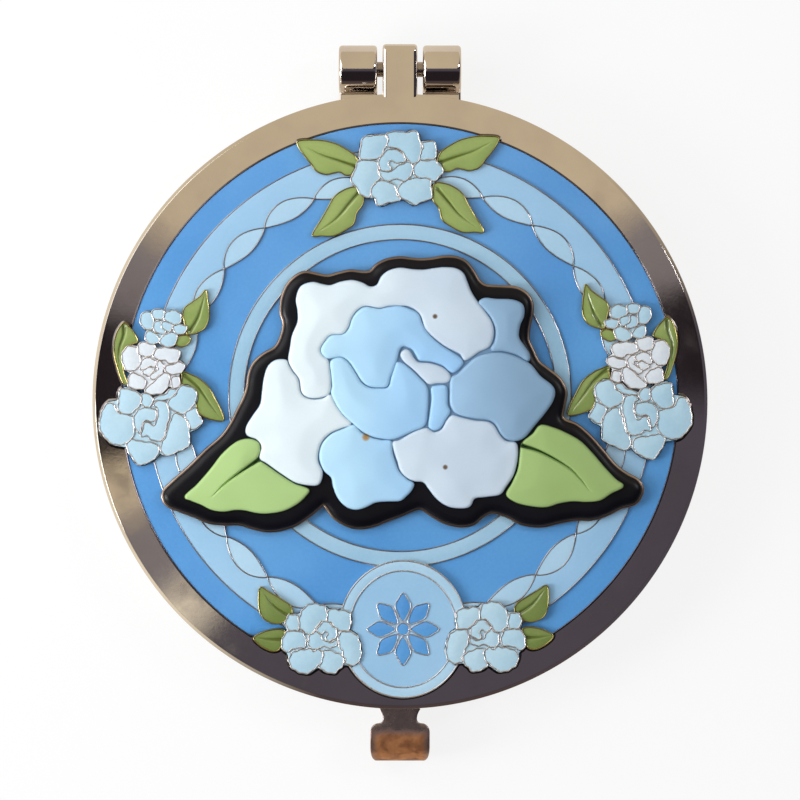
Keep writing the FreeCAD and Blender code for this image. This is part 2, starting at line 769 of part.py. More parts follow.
BADGE_PETAL_SHARES = {
    "petal_heart": [
        (0.000, 0.089), (0.058, 0.030), (0.050, -0.052), (-0.020, -0.083), (-0.099, -0.048), (-0.142, 0.020),
        (-0.135, 0.087), (-0.062, 0.028),
    ],
    "petal_inner_white": [
        (0.002, 0.091), (0.020, 0.108), (0.034, 0.087), (0.085, 0.082), (0.109, 0.050), (0.050, 0.045),
    ],
    "petal_hood": [
        (-0.168, 0.100), (-0.148, 0.135), (-0.114, 0.144), (-0.090, 0.192), (-0.030, 0.203), (0.025, 0.192),
        (0.063, 0.140), (0.104, 0.116), (0.137, 0.085), (-0.020, 0.020),
    ],
    "petal_right": [
        (0.103, 0.030), (0.160, 0.098), (0.259, 0.089), (0.318, 0.035), (0.312, -0.022), (0.285, -0.070),
        (0.234, -0.086), (0.196, -0.052), (0.147, -0.033), (0.114, -0.012),
    ],
    "petal_sliver": [
        (0.051, 0.030), (0.085, 0.040), (0.107, 0.025), (0.108, -0.025), (0.072, -0.064), (0.045, -0.015),
    ],
    "petal_lower_right": [
        (-0.019, -0.088), (0.070, -0.035), (0.173, -0.037), (0.215, -0.068), (0.244, -0.095), (0.246, -0.155),
        (0.180, -0.199), (0.122, -0.226), (0.060, -0.196), (0.004, -0.150),
    ],
    "petal_lower_left": [
        (-0.105, -0.050), (-0.160, -0.085), (-0.165, -0.140), (-0.136, -0.192), (-0.091, -0.227),
        (-0.020, -0.213), (0.025, -0.178), (0.020, -0.080),
    ],
    "petal_left": [
        (-0.255, 0.089), (-0.222, 0.062), (-0.204, 0.016), (-0.177, 0.006), (-0.140, 0.012), (-0.100, -0.030),
        (-0.110, -0.070), (-0.160, -0.110), (-0.164, -0.165), (-0.215, -0.176), (-0.278, -0.138),
        (-0.298, -0.115), (-0.291, -0.092), (-0.322, -0.060), (-0.297, -0.012), (-0.285, 0.045),
    ],
    "petal_crest": [
        (-0.230, 0.080), (-0.234, 0.125), (-0.213, 0.167), (-0.220, 0.222), (-0.189, 0.253), (-0.125, 0.258),
        (-0.059, 0.240), (-0.020, 0.279), (0.030, 0.279), (0.110, 0.286), (0.149, 0.249), (0.162, 0.212),
        (0.183, 0.184), (0.203, 0.140), (0.185, 0.100), (0.045, 0.080), (-0.100, 0.050), (-0.155, 0.004),
        (-0.204, 0.011), (-0.220, 0.045),
    ],
    "petal_upper_right": [
        (0.152, 0.203), (0.200, 0.222), (0.246, 0.212), (0.262, 0.185), (0.250, 0.155), (0.262, 0.125),
        (0.268, 0.088), (0.190, 0.100),
    ],
    "badge_leaf_left": [
        (-0.453, -0.197), (-0.398, -0.148), (-0.347, -0.090), (-0.305, -0.074), (-0.260, -0.095),
        (-0.180, -0.140), (-0.186, -0.182), (-0.225, -0.222), (-0.297, -0.236), (-0.375, -0.232),
    ],
    "badge_leaf_right": [
        (0.467, -0.178), (0.410, -0.122), (0.360, -0.070), (0.305, -0.047), (0.253, -0.060), (0.212, -0.130),
        (0.221, -0.199), (0.280, -0.224), (0.354, -0.210), (0.415, -0.207),
    ],
}
# Black base of the badge: its outer outline, clockwise from the notch at its left shoulder
BACKING_SHARES = [
    (-0.262, 0.108), (-0.245, 0.225), (-0.160, 0.263), (-0.110, 0.272), (-0.067, 0.264), (-0.012, 0.298),
    (0.040, 0.296), (0.118, 0.298), (0.163, 0.250), (0.245, 0.236), (0.268, 0.150), (0.334, 0.052),
    (0.343, -0.038), (0.430, -0.105), (0.498, -0.163), (0.508, -0.190), (0.490, -0.213), (0.330, -0.262),
    (0.205, -0.238), (0.125, -0.262), (0.042, -0.227), (-0.070, -0.264), (-0.164, -0.215), (-0.300, -0.268),
    (-0.470, -0.235), (-0.500, -0.205), (-0.485, -0.174), (-0.405, -0.108), (-0.343, -0.030), (-0.320, 0.048),
]
# Midrib of each badge leaf: from the flower outwards
VEIN_SHARES = {
    "badge_leaf_left": [(-0.297, -0.117), (-0.345, -0.150), (-0.389, -0.191)],
    "badge_leaf_right": [(0.253, -0.090), (0.343, -0.125), (0.400, -0.180)],
}


def badge_points(shares):
    """Places on the badge from shares of its width."""
    return [Vector(across, along, 0) * number(BADGE_WIDTH) for across, along in shares]


def backing_face(grow=0.0):
    """Outline of the badge's black base, grown by the given length."""
    return arc_face(badge_points(BACKING_SHARES), grow)


def vein_groove(shares, bottom):
    """Slim tapering groove along a leaf's midrib."""
    points = badge_points(shares)
    half = size("vein_width") / 2
    out = (points[-1] - points[0]).cross(Vector(0, 0, 1)).normalize() * half
    upper = [points[0] + out, points[1] + out, points[2]]
    lower = [points[1] - out, points[0] - out]
    groove = raised([polygon_face(upper + lower)], size("petal_height"))[0]
    groove.translate(Vector(0, 0, bottom))
    return groove


def make_badge_pad():
    """Square of adhesive foam between the plaque and the badge, well inside the inner ring."""
    ring_share = BAND_SHARES[2]
    ring_inner = f"({ring_share} * {PLAQUE_RADIUS} - sizes.ring_width)"
    half = f"(({ring_inner} - sizes.badge_pad_clearance) / sqrt(2))"
    return make_foam("badge_pad", half, "sizes.badge_pad_thickness", GROUND_TOP)


def make_badge_base():
    """Metal plate and, on it, the black moulded base."""
    plate = raised([backing_face(size("badge_edge"))], size("badge_plate_thickness"))
    backing = raised([backing_face()], size("backing_height"))
    return [
        add_feature("badge_plate", plate, number(BADGE_UNDER)),
        add_feature("badge_backing", backing, number(BACKING_UNDER)),
    ]


def make_badge_petals():
    """Petals, each cut back by those in front of it, and the two leaves behind them."""
    top = size("petal_height")
    front = []
    features = []
    for label, shares in BADGE_PETAL_SHARES.items():
        points = badge_points(shares)
        outline = arc_face(points)
        seen = outline.cut(front) if front else outline
        face = max(seen.Faces, key=lambda piece: piece.Area)
        solid = raised([face], top)[0]
        if label in VEIN_SHARES:
            solid = solid.cut(vein_groove(VEIN_SHARES[label], top - size("vein_depth")))
        else:
            front.append(arc_face(points, size("petal_seam")))
        features.append(add_feature(label, solid.Solids, number(PETAL_UNDER)))
    return features


def make_parts():
    """Every sub-part, in the order of a strip-down from the bottom."""
    ornaments = draw_ornaments(backing_face(size("badge_edge") + size("line_width")))
    mirror_under = "sizes.base_floor + sizes.pad_thickness"
    lid_pad_under = f"({CEILING} - sizes.pad_thickness)"
    lid_mirror_under = f"{lid_pad_under} - sizes.mirror_thickness"
    parts = [
        make_base_shell(),
        make_hinge_pin(),
        make_foam("base_mirror_pad", "(sizes.pad_side / 2)", "sizes.pad_thickness", "sizes.base_floor"),
        make_mirror("base_mirror", mirror_under),
        make_lid_shell(),
        make_foam("lid_mirror_pad", "(sizes.pad_side / 2)", "sizes.pad_thickness", lid_pad_under),
        make_mirror("lid_mirror", lid_mirror_under),
        make_latch_tongue(),
        make_plaque(ornaments),
        make_ground(),
        make_mounts(ornaments),
        make_badge_pad(),
    ]
    parts += make_ring_enamels(ornaments)
    parts += make_ornament_enamels(ornaments)
    parts += make_badge_base()
    parts += make_badge_petals()
    return parts


def check_document(parts):
    """Stop unless every object is up to date and every sub-part has a sound shape."""
    doc.recompute()
    for item in doc.Objects:
        if "Invalid" in item.State or "Error" in item.State:
            raise RuntimeError(f"{item.Name} failed: {item.State}")
    for part in parts:
        if part.Shape.isNull() or not part.Shape.isValid() or not part.Shape.Solids:
            raise RuntimeError(f"{part.Label} has no sound shape")


def write_parts(parts):
    """One file for each sub-part, named by its label."""
    os.makedirs("parts", exist_ok=True)
    for part in parts:
        part.Shape.exportStep(os.path.join("parts", f"{part.Label}.step"))


all_parts = make_parts()
check_document(all_parts)
write_parts(all_parts)
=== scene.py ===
import bmesh
import bpy
import numpy as np
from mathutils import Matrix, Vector
from mathutils.geometry import delaunay_2d_cdt


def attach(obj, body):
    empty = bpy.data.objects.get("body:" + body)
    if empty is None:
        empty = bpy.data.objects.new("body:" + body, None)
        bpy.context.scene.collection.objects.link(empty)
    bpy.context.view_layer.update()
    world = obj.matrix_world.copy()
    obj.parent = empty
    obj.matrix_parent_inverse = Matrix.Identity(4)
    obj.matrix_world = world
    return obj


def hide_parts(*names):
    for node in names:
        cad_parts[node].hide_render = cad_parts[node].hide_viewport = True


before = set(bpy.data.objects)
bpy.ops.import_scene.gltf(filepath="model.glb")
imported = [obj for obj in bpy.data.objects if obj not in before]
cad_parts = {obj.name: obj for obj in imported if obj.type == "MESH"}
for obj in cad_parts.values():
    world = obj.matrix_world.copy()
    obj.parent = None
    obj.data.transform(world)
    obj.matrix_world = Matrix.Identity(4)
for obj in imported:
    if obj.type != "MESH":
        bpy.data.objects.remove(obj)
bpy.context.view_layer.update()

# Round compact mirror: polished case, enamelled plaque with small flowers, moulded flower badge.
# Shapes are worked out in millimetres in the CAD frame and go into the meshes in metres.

MM = 0.001

# Heights and reaches in millimetres that follow the solids
LID_UNDER, LID_TOP, LID_CEILING = 3.8, 7.2, 6.2
BASE_TOP, BASE_FLOOR = 3.7, 1.0
CASE_REACH, BAY_REACH = 32.5, 27.7
AXIS_Y, AXIS_Z, BARREL_REACH, BORE_REACH = 35.25, 4.65, 2.55, 0.82
LUG_HALF, LUG_START, LUG_UNDER = 1.825, 30.9, 5.8
KNUCKLE_NEAR, KNUCKLE_FAR, KNUCKLE_EASE = 2.425, 6.475, 0.36
WEB_START, WEB_BEND, WEB_LOW = 31.5, 32.7, 1.4
CATCH_START, CATCH_END, CATCH_LOW, CATCH_HIGH, CATCH_HALF = -31.5, -37.4, 1.3, 2.5, 1.7
LATCH_START, LATCH_LEVEL, LATCH_HALF_THICK = -30.7, 5.5, 0.3
LATCH_FLAT, LATCH_DROP, LATCH_BEND, HOOK_BEND = 4.6, 1.5, 2.7, 0.6
FOAM_HALF, FOAM_THICK, FOAM_CORNER, BADGE_FOAM_HALF = 13.0, 0.3, 1.2, 8.48
PLAQUE_REACH, PLAQUE_TOP, PLAQUE_CUT = 29.5, 7.65, -24.9
GROUND_TOP, BAND_TOP = 7.85, 8.0
BLOSSOM_TOP, LEAF_TOP = 8.58, 8.46
BADGE_UNDER, BADGE_PLATE_TOP, BACKING_TOP = 8.25, 8.75, 9.3
PETAL_UNDER, PETAL_WEB, PETAL_TOP = 9.1, 9.48, 10.06
GARLAND_REACH, GARLAND_CUT = 26.66, PLAQUE_CUT + 0.5
RING_REACH, RING_WIDTH, RING_RISE = 18.05, 1.6, 0.62
MEDALLION, MEDALLION_BAND = (0.32, -24.0, 6.7, 7.2), 1.05
LIP, BORDER, LINE = 0.36, 0.18, 0.07

# Twisted ribbon: its middle, how far each strand swings, the lenses between its crossings, the first
# crossing in degrees, the lean and the fullness of a swing, and points to a lens
RIBBON_REACH, SWING_OUT, SWING_IN, LENSES = 23.2, 1.22, 0.92, 24
FIRST_NODE, LEAN, FULLNESS, LENS_STEPS = 7.0, 1.12, 0.8, 32

# An easing that leaves a corner crisp, and how deep a surface goes into the one that carries it
CRISP, SUNK = 0.05, 0.1

# Rows of points: at both ends of a wall as shares of its height, inside an outline as shares of its
# edge's width, and beside a groove in millimetres
FLAT_ROWS = (0.03, 0.97)
EDGE_SHARES = (0.06, 0.2, 0.42, 0.7, 1.0)
GROOVE_ROWS = np.array([0.0, 0.05, 0.1, 0.16, 0.24, 0.34])
# Share of its depth that an inset point keeps from the outline; in shares of the spacing, the height of
# a row in the triangular lattice and the room between the lattice and other rows
INSET_ROOM, LATTICE_ROW, LATTICE_ROOM = 0.93, 0.866, 0.4
# A groove's width at its tip, what it gains towards its root, and how much of its depth the tip loses
GROOVE_TIP, GROOVE_GAIN, GROOVE_FADE = 0.06, 0.13, 0.9


# Curves in plan


def pairs(numbers):
    """Flat run of numbers as an array of points."""
    return np.asarray(numbers, float).reshape(-1, 2)


def drawn(sheet, numbers):
    """Points on a drawing sheet as places in millimetres.

    Each is its offset from the case's middle on that sheet, rows counted down, times the sheet's unit.
    """
    column, row, unit = sheet
    return (pairs(numbers) - (column, row)) * (unit, -unit)


def evenly(path, count, closed=True):
    """The path again as points at even steps of its length."""
    loop = np.vstack([path, path[:1]]) if closed else path
    run = np.concatenate([[0], np.cumsum(np.linalg.norm(np.diff(loop, axis=0), axis=1))])
    stops = np.linspace(0, run[-1], count, endpoint=not closed)
    return np.stack([np.interp(stops, run, loop[:, axis]) for axis in (0, 1)], axis=1)


def smooth(points, count, closed=True):
    """Smooth curve through the points.

    In each span it is the cubic that passes both ends along half the chord between the points either
    side of them; an open curve repeats its end points.
    """
    if closed:
        before, after = np.roll(points, 1, 0), np.roll(points, -1, 0)
        beyond = np.roll(points, -2, 0)
        here = points
    else:
        padded = np.vstack([2 * points[0] - points[1], points, 2 * points[-1] - points[-2]])
        before, here, after, beyond = padded[:-3], padded[1:-2], padded[2:-1], padded[3:]
    t = np.linspace(0, 1, 12, endpoint=False)[None, :, None]
    leave, arrive = (after - before)[:, None] / 2, (beyond - here)[:, None] / 2
    start, end = here[:, None], after[:, None]
    bend = (
        (2 * t**3 - 3 * t**2 + 1) * start + (t**3 - 2 * t**2 + t) * leave
        + (3 * t**2 - 2 * t**3) * end + (t**3 - t**2) * arrive
    )
    path = bend.reshape(-1, 2)
    if not closed:
        path = np.vstack([path, points[-1:]])
    return evenly(path, count, closed)


def eased(corners, radii, steps=6):
    """Polygon with each corner replaced by the quarter ellipse that touches both its sides."""
    corners = pairs(corners)
    radii = np.broadcast_to(np.asarray(radii, float), len(corners))[:, None]
    back, on = np.roll(corners, 1, 0) - corners, np.roll(corners, -1, 0) - corners
    start = corners + back / np.linalg.norm(back, axis=1, keepdims=True) * radii
    end = corners + on / np.linalg.norm(on, axis=1, keepdims=True) * radii
    hub = start + end - corners
    a = np.linspace(0, np.pi / 2, steps)[None, :, None]
    arcs = hub[:, None] + (start - hub)[:, None] * np.cos(a) + (end - hub)[:, None] * np.sin(a)
    path = arcs.reshape(-1, 2)
    apart = np.linalg.norm(path - np.roll(path, 1, 0), axis=1) > 1e-6
    return path[apart]


def oval(middle_x, middle_y, half_wide, half_tall, count):
    """Closed oval: cosine and sine of an even angle times its half axes."""
    a = np.linspace(0, 2 * np.pi, count, endpoint=False)
    return np.stack([middle_x + half_wide * np.cos(a), middle_y + half_tall * np.sin(a)], axis=1)


def clockwise(radius, angle):
    """Places at a radius and an angle counted clockwise from the hinge side."""
    return np.stack([radius * np.sin(angle), radius * np.cos(angle)], axis=-1)


def outward(path, closed=True):
    """Unit normals of a path, to its right as it runs; a closed path is taken anticlockwise."""
    if closed:
        heading = np.roll(path, -1, 0) - np.roll(path, 1, 0)
    else:
        heading = np.gradient(path, axis=0)
    heading /= np.maximum(np.linalg.norm(heading, axis=1, keepdims=True), 1e-9)
    return np.stack([heading[:, 1], -heading[:, 0]], axis=1)


def anticlockwise(path):
    """The closed path turned, if need be, so that it encloses its area anticlockwise."""
    x, y = path.T
    area = np.sum(x * np.roll(y, -1) - y * np.roll(x, -1))
    return path if area > 0 else path[::-1]


def grown(path, length):
    """Closed path moved outwards along its normals."""
    path = anticlockwise(path)
    return path + outward(path) * length


def drawn_outline(sheet, numbers, step, least=0):
    """Smooth closed outline through points on a drawing sheet, with points about a step apart."""
    points = anticlockwise(drawn(sheet, numbers))
    length = np.sum(np.linalg.norm(points - np.roll(points, 1, 0), axis=1))
    return anticlockwise(smooth(points, max(least, int(length / step))))


def ruffled(path, depth, wave):
    """Closed path with a wavy edge.

    Each point moves along its normal by depth times the sine of its way round, in whole waves of about
    that length.
    """
    path = anticlockwise(path)
    step = np.linalg.norm(np.roll(path, -1, 0) - path, axis=1)
    way = (np.cumsum(step) - step) / np.sum(step)
    waves = max(3, round(np.sum(step) / wave))
    return path + outward(path) * (depth * np.sin(2 * np.pi * waves * way))[:, None]


def distance_to(places, path, closed=True):
    """Shortest distance from each place to the straight runs of a path."""
    start, end = (path, np.roll(path, -1, 0)) if closed else (path[:-1], path[1:])
    run = end - start
    off = places[:, None] - start[None]
    share = np.sum(off * run, axis=2) / np.maximum(np.sum(run * run, axis=1), 1e-12)
    share = np.clip(share, 0, 1)[..., None]
    return np.sqrt(np.min(np.sum((off - share * run) ** 2, axis=2), axis=1))


def inside(places, path):
    """Whether each place lies in a closed path: a level ray from it crosses the path an odd number of
    times.
    """
    x, y = places[:, :1], places[:, 1:]
    x0, y0 = path.T
    x1, y1 = np.roll(path, -1, 0).T
    spans = (y0 > y) != (y1 > y)
    rise = np.where(y1 == y0, 1e-12, y1 - y0)
    meets = x < x0 + (y - y0) / rise * (x1 - x0)
    return np.sum(spans & meets, axis=1) % 2 == 1


# Surfaces: each gives its points in millimetres and its faces


def lattice(grid, wrap_rows, wrap_columns):
    """Four-sided faces between the neighbours of a grid of points."""
    rows, columns = grid.shape[:2]
    i = np.arange(rows if wrap_rows else rows - 1)[:, None]
    j = np.arange(columns if wrap_columns else columns - 1)[None, :]
    i_next, j_next = (i + 1) % rows, (j + 1) % columns
    around = (i * columns + j, i * columns + j_next, i_next * columns + j_next, i_next * columns + j)
    return grid.reshape(-1, 3), [np.stack(np.broadcast_arrays(*around), axis=-1).reshape(-1, 4)]


def turned(profile, count=192, closed=False):
    """Profile of (radius, height) turned once round the upright axis through the case's middle."""
    profile = pairs(profile)
    a = np.linspace(0, 2 * np.pi, count, endpoint=False)[:, None]
    radius, height = profile[None, :, 0], profile[None, :, 1]
    grid = np.stack(np.broadcast_arrays(radius * np.cos(a), radius * np.sin(a), height), axis=-1)
    return lattice(grid, True, closed)


def barrel(near, far, reach, bore, edge):
    """Tube along X about the hinge axis: a ring section with eased outer corners turned round the axis."""
    corners = [near, bore, near, reach, far, reach, far, bore]
    section = evenly(eased(corners, [CRISP, edge, edge, CRISP], 10), 110)
    a = np.linspace(0, 2 * np.pi, 96, endpoint=False)[:, None]
    along, radius = section[None, :, 0], section[None, :, 1]
    y, z = AXIS_Y + radius * np.cos(a), AXIS_Z + radius * np.sin(a)
    grid = np.stack(np.broadcast_arrays(along, y, z), axis=-1)
    return lattice(grid, True, True)


def carried(path, profile, closed=True):
    """Closed profile of (across, height) carried along a plan path.

    Each point is the path's point moved along its normal by across; an open path's ends close to a point.
    """
    if closed:
        path = anticlockwise(path)
    profile = pairs(profile)
    normal = outward(path, closed)
    plan = path[:, None] + normal[:, None] * profile[None, :, :1]
    height = np.broadcast_to(profile[None, :, 1:], plan.shape[:2] + (1,))
    grid = np.concatenate([plan, height], axis=2)
    if not closed:
        first, last = (np.broadcast_to(end.mean(0), end.shape)[None] for end in (grid[0], grid[-1]))
        grid = np.concatenate([first, grid, last])
    return lattice(grid, closed, True)


def ridge(half, foot, top):
    """Section of a raised line: upright sides from the foot, and a half-round top."""
    a = np.linspace(0, np.pi, 7)
    crown = np.stack([half * np.cos(a), top - half + half * np.sin(a)], axis=1)
    return np.vstack([[half, foot], crown, [-half, foot]])


def filled(outline, depths, spacing, path=None):
    """Plan points that fill an outline, and the triangles between them.

    The outline comes first, then copies of it moved inwards by the depths where they stay that far
    from it, then rows beside a path if one is given, then an even triangular lattice in the rest.
    """
    normal = outward(outline)
    layers = [outline]
    for depth in depths:
        inset = outline - normal * depth
        clear = inside(inset, outline) & (distance_to(inset, outline) > INSET_ROOM * depth)
        layers.append(inset[clear])
    low, high = outline.min(0), outline.max(0)
    columns = np.arange(low[0], high[0], spacing)
    x, y = np.meshgrid(columns, np.arange(low[1], high[1], spacing * LATTICE_ROW))
    x = x + (np.arange(len(x)) % 2)[:, None] * spacing / 2
    field = np.stack([x.ravel(), y.ravel()], axis=1)
    field = field[inside(field, outline)]
    if len(field):
        field = field[distance_to(field, outline) > depths[-1] + LATTICE_ROOM * spacing]
    if path is not None:
        rows = np.concatenate([-GROOVE_ROWS[:0:-1], GROOVE_ROWS])
        beside = (path[None] + outward(path, False)[None] * rows[:, None, None]).reshape(-1, 2)
        beside = beside[inside(beside, outline)]
        layers.append(beside[distance_to(beside, outline) > depths[-1]])
        field = field[distance_to(field, path, False) > rows[-1] + LATTICE_ROOM * spacing]
    layers.append(field)
    plan = np.vstack(layers)
    ring = list(range(len(outline)))
    inside_only, nearness = 1, 1e-7
    places, _, faces, *_ = delaunay_2d_cdt(plan.tolist(), [], [ring], inside_only, nearness)
    faces = np.array(faces)
    kept = np.unique(faces)
    return np.array(places)[kept], np.searchsorted(kept, faces)


def moulded(outline, low, high, top, bottom=None, swell=0.0, reach=1.0, groove=None, spacing=0.5, rows=()):
    """Closed slab over an outline whose faces fall away towards it.

    At a distance d from the outline the upper face lies below `high` by the drop of a quarter ellipse
    of width top[0] and drop top[1]; further in it rises by swell times the smooth step of d over reach.
    The lower face does the same with `bottom`.  A groove, given as a path and a depth, lowers the upper
    face by a bell of the distance to the path that fades towards the path's end.  The wall between the
    faces has extra rows of points at these shares of its height.
    """
    outline = anticlockwise(outline)
    depths = [top[0] * share for share in EDGE_SHARES]
    plan, faces = filled(outline, depths, spacing, groove[0] if groove else None)
    away = distance_to(plan, outline)

    def fall(width, drop):
        lean = 1 - np.clip(away / width, 0, 1)
        return drop * (1 - np.sqrt(1 - lean**2))

    step = np.clip(away / reach, 0, 1)
    upper = high - fall(*top) + swell * step**2 * (3 - 2 * step)
    if groove:
        path, depth = groove
        run = path[-1] - path[0]
        share = np.clip((plan - path[0]) @ run / (run @ run), 0, 1)
        width = GROOVE_TIP + GROOVE_GAIN * (1 - share)
        bell = np.exp(-((distance_to(plan, path, False) / width) ** 2))
        upper = upper - depth * bell * (1 - GROOVE_FADE * share**2)
    lower = low + (fall(*bottom) if bottom else 0 * away)
    count, rim = len(plan), len(outline)
    order = np.argmin(np.linalg.norm(plan[None] - outline[:, None], axis=2), axis=1)
    height = (lower - upper)[order]
    between = [np.column_stack([plan[order], upper[order] + share * height]) for share in rows]
    rings = [order] + [2 * count + row * rim + np.arange(rim) for row in range(len(rows))] + [order + count]
    walls = [np.stack([under, np.roll(under, -1), np.roll(over, -1), over], axis=1)
             for over, under in zip(rings, rings[1:])]
    points = np.vstack([np.column_stack([plan, upper]), np.column_stack([plan, lower])] + between)
    return points, [faces, faces[:, ::-1] + count] + walls


def sideways(shape):
    """The same shape with its plan laid in the Y-Z plane and its height along X."""
    points, faces = shape
    return points[:, [2, 0, 1]], faces


def bar(section, near, far, ease, spacing):
    """Slab across X with this section in the Y-Z plane and its edges eased."""
    edge = (ease, ease)
    return sideways(moulded(section, near, far, edge, edge, spacing=spacing, rows=FLAT_ROWS))


def mirrored(shape):
    """The same shape on the other side of the middle plane."""
    points, faces = shape
    return points * (-1, 1, 1), [group[:, ::-1] for group in faces]


# Shader maths


class Value:
    """A shader socket on which plain arithmetic adds Math nodes."""

    def __init__(self, tree, socket):
        self.tree, self.socket = tree, socket

    def node(self, kind, settings=None, inputs=None, output=0):
        """A node of that type with its settings made first, then its sockets' values or links."""
        made = self.tree.nodes.new(kind)
        for name, setting in (settings or {}).items():
            if name == "stops":
                ramp = made.color_ramp.elements
                while len(ramp) < len(setting):
                    ramp.new(1.0)
                for stop, (place, colour) in zip(ramp, setting):
                    stop.position, stop.color = place, colour
            else:
                setattr(made, name, setting)
        for key, value in (inputs or {}).items():
            if isinstance(value, Value):
                self.tree.links.new(value.socket, made.inputs[key])
            else:
                made.inputs[key].default_value = value
        return Value(self.tree, made.outputs[output])

    def maths(self, operation, first, second=0.0):
        return self.node("ShaderNodeMath", {"operation": operation}, {0: first, 1: second})

    def __add__(self, other):
        return self.maths("ADD", self, other)

    def __sub__(self, other):
        return self.maths("SUBTRACT", self, other)

    def __rsub__(self, other):
        return self.maths("SUBTRACT", other, self)

    def __mul__(self, other):
        return self.maths("MULTIPLY", self, other)

    def __truediv__(self, other):
        return self.maths("DIVIDE", self, other)

    __radd__ = __add__
    __rmul__ = __mul__

    def over(self, low, high):
        """Smooth step from 0 at low to 1 at high."""
        ends = {"Value": self, "From Min": low, "From Max": high}
        return self.node("ShaderNodeMapRange", {"interpolation_type": "SMOOTHSTEP"}, ends)

    def noise(self, scale, detail=2.0, warp=0.0):
        """Cloudy noise over this position."""
        ends = {"Vector": self, "Scale": scale, "Detail": detail, "Distortion": warp}
        return self.node("ShaderNodeTexNoise", None, ends)

    def tint(self, first, second):
        """Colour between two others by this value."""
        return self.node("ShaderNodeMix", {"data_type": "RGBA"}, {0: self, 6: first, 7: second}, 2)

    def bump(self, strength, distance):
        """Normal bumped by this value as a height."""
        ends = {"Strength": strength, "Distance": distance, "Height": self}
        return self.node("ShaderNodeBump", None, ends)

    def part(self, axis):
        """One coordinate of this position."""
        return self.node("ShaderNodeSeparateXYZ", None, {0: self}, axis)


def ink(red, green, blue, gain=1.0):
    """Linear colour of a colour written in 0-255 steps."""
    share = np.array([red, green, blue]) / 255
    linear = np.where(share <= 0.04045, share / 12.92, ((share + 0.055) / 1.055) ** 2.4)
    return tuple(linear * gain) + (1.0,)


def finish(name, **constants):
    """New material: its shader with the given constants, and the position on the piece."""
    material = bpy.data.materials.new(name)
    material.use_nodes = True
    tree = material.node_tree
    shader = tree.nodes["Principled BSDF"]
    for socket, constant in constants.items():
        shader.inputs[socket.replace("_", " ")].default_value = constant
    coordinates = tree.nodes.new("ShaderNodeTexCoord")
    return material, shader, Value(tree, coordinates.outputs["Object"])


def feed(shader, **links):
    """Link values to the shader's sockets."""
    for socket, value in links.items():
        value.tree.links.new(value.socket, shader.inputs[socket.replace("_", " ")])


# Middle range of a noise, which is stretched to tell its tones apart
MIDTONES = (0.3, 0.7)
# Heights in millimetres over which the painted shade low in a leaf's fill and in a moulding's crease gives
# way to its own colour
LEAF_SHADE, CREASE_SHADE = (8.26, 8.44), (9.57, 9.76)
# Share of a pin mark's reach that is fully dark
PIN_CORE = 0.25


def swept(tone, along, share, dark, light):
    """The tone with a share of it replaced by a smooth step along a coordinate: painted light and shade
    across the case.

    The step is 0 at the dark place and 1 at the light one, both in millimetres.
    """
    rise = along.over(min(dark, light) * MM, max(dark, light) * MM)
    return (1 - share) * tone + share * (rise if dark < light else 1 - rise)


def polished_metal(name, bright, dull, rough):
    """Plated metal: faint clouding of its colour and gloss, and hair-fine scuffs."""
    material, shader, place = finish(name, Metallic=1.0)
    cloud = place.noise(220, 3)
    hair = place.noise(2600, 4, 0.6)
    feed(
        shader,
        Base_Color=cloud.over(0.3, 0.75).tint(bright, dull),
        Roughness=rough + 0.06 * cloud.over(0.5, 0.85) + 0.03 * hair,
        Normal=hair.bump(0.012, 0.02 * MM),
    )
    return material


def worn_latch_metal():
    """Plated strip whose plating is rubbed through to dull copper on the head."""
    material, shader, place = finish("worn_latch_metal")
    plate, copper, dark = ink(150, 138, 140), ink(198, 136, 88), ink(132, 84, 56)
    patch = place.noise(420, 4, 0.8)
    edge = place.part(0) * place.part(0)
    reach = (0 - place.part(1)) + 1.6 * MM * (patch - 0.5)
    middle = 1 - edge.over((2.2 * MM) ** 2, (3.1 * MM) ** 2)
    rubbed = reach.over(34.5 * MM, 35.7 * MM) * (0.35 + 0.65 * middle)
    mottle = place.noise(1500, 3).over(0.35, 0.7)
    worn = (patch.over(0.4, 0.62) * 0.7 + 0.3 * mottle).tint(copper, dark)
    feed(
        shader,
        Base_Color=rubbed.tint(plate, worn),
        Metallic=1 - 0.5 * rubbed,
        Roughness=0.22 + 0.24 * rubbed + 0.06 * mottle,
        Normal=(patch + 0.4 * mottle).bump(0.10, 0.04 * MM),
    )
    return material


def enamel(name, deep, light, low=None, painted_light_grade=None):
    """Glassy fill: slow drift between two tones, tiny specks and an orange-peel surface.

    A leaf's fill has painted shade low down, at its edge and in its rib groove, and painted light that grades
    it lighter towards the hinge.
    """
    material, shader, place = finish(name, IOR=1.5, Coat_Roughness=0.04)
    drift = place.noise(95, 2)
    speck = place.noise(3200, 2)
    peel = place.noise(420, 1)
    tone = 0.75 * drift.over(*MIDTONES) + 0.25 * speck.over(*MIDTONES)
    if painted_light_grade:
        tone = swept(tone, place.part(1), *painted_light_grade)
    colour = tone.tint(deep, light)
    # Painted shade: where the leaf's surface lies low, at its edge and in its rib groove, it goes over to the
    # low tone
    if low:
        below, above = LEAF_SHADE
        colour = place.part(2).over(below * MM, above * MM).tint(low, colour)
    feed(
        shader,
        Base_Color=colour,
        Roughness=0.10 + 0.08 * speck,
        Coat_Weight=0.25 + 0.25 * drift,
        Normal=peel.bump(0.10, 0.05 * MM),
    )
    return material


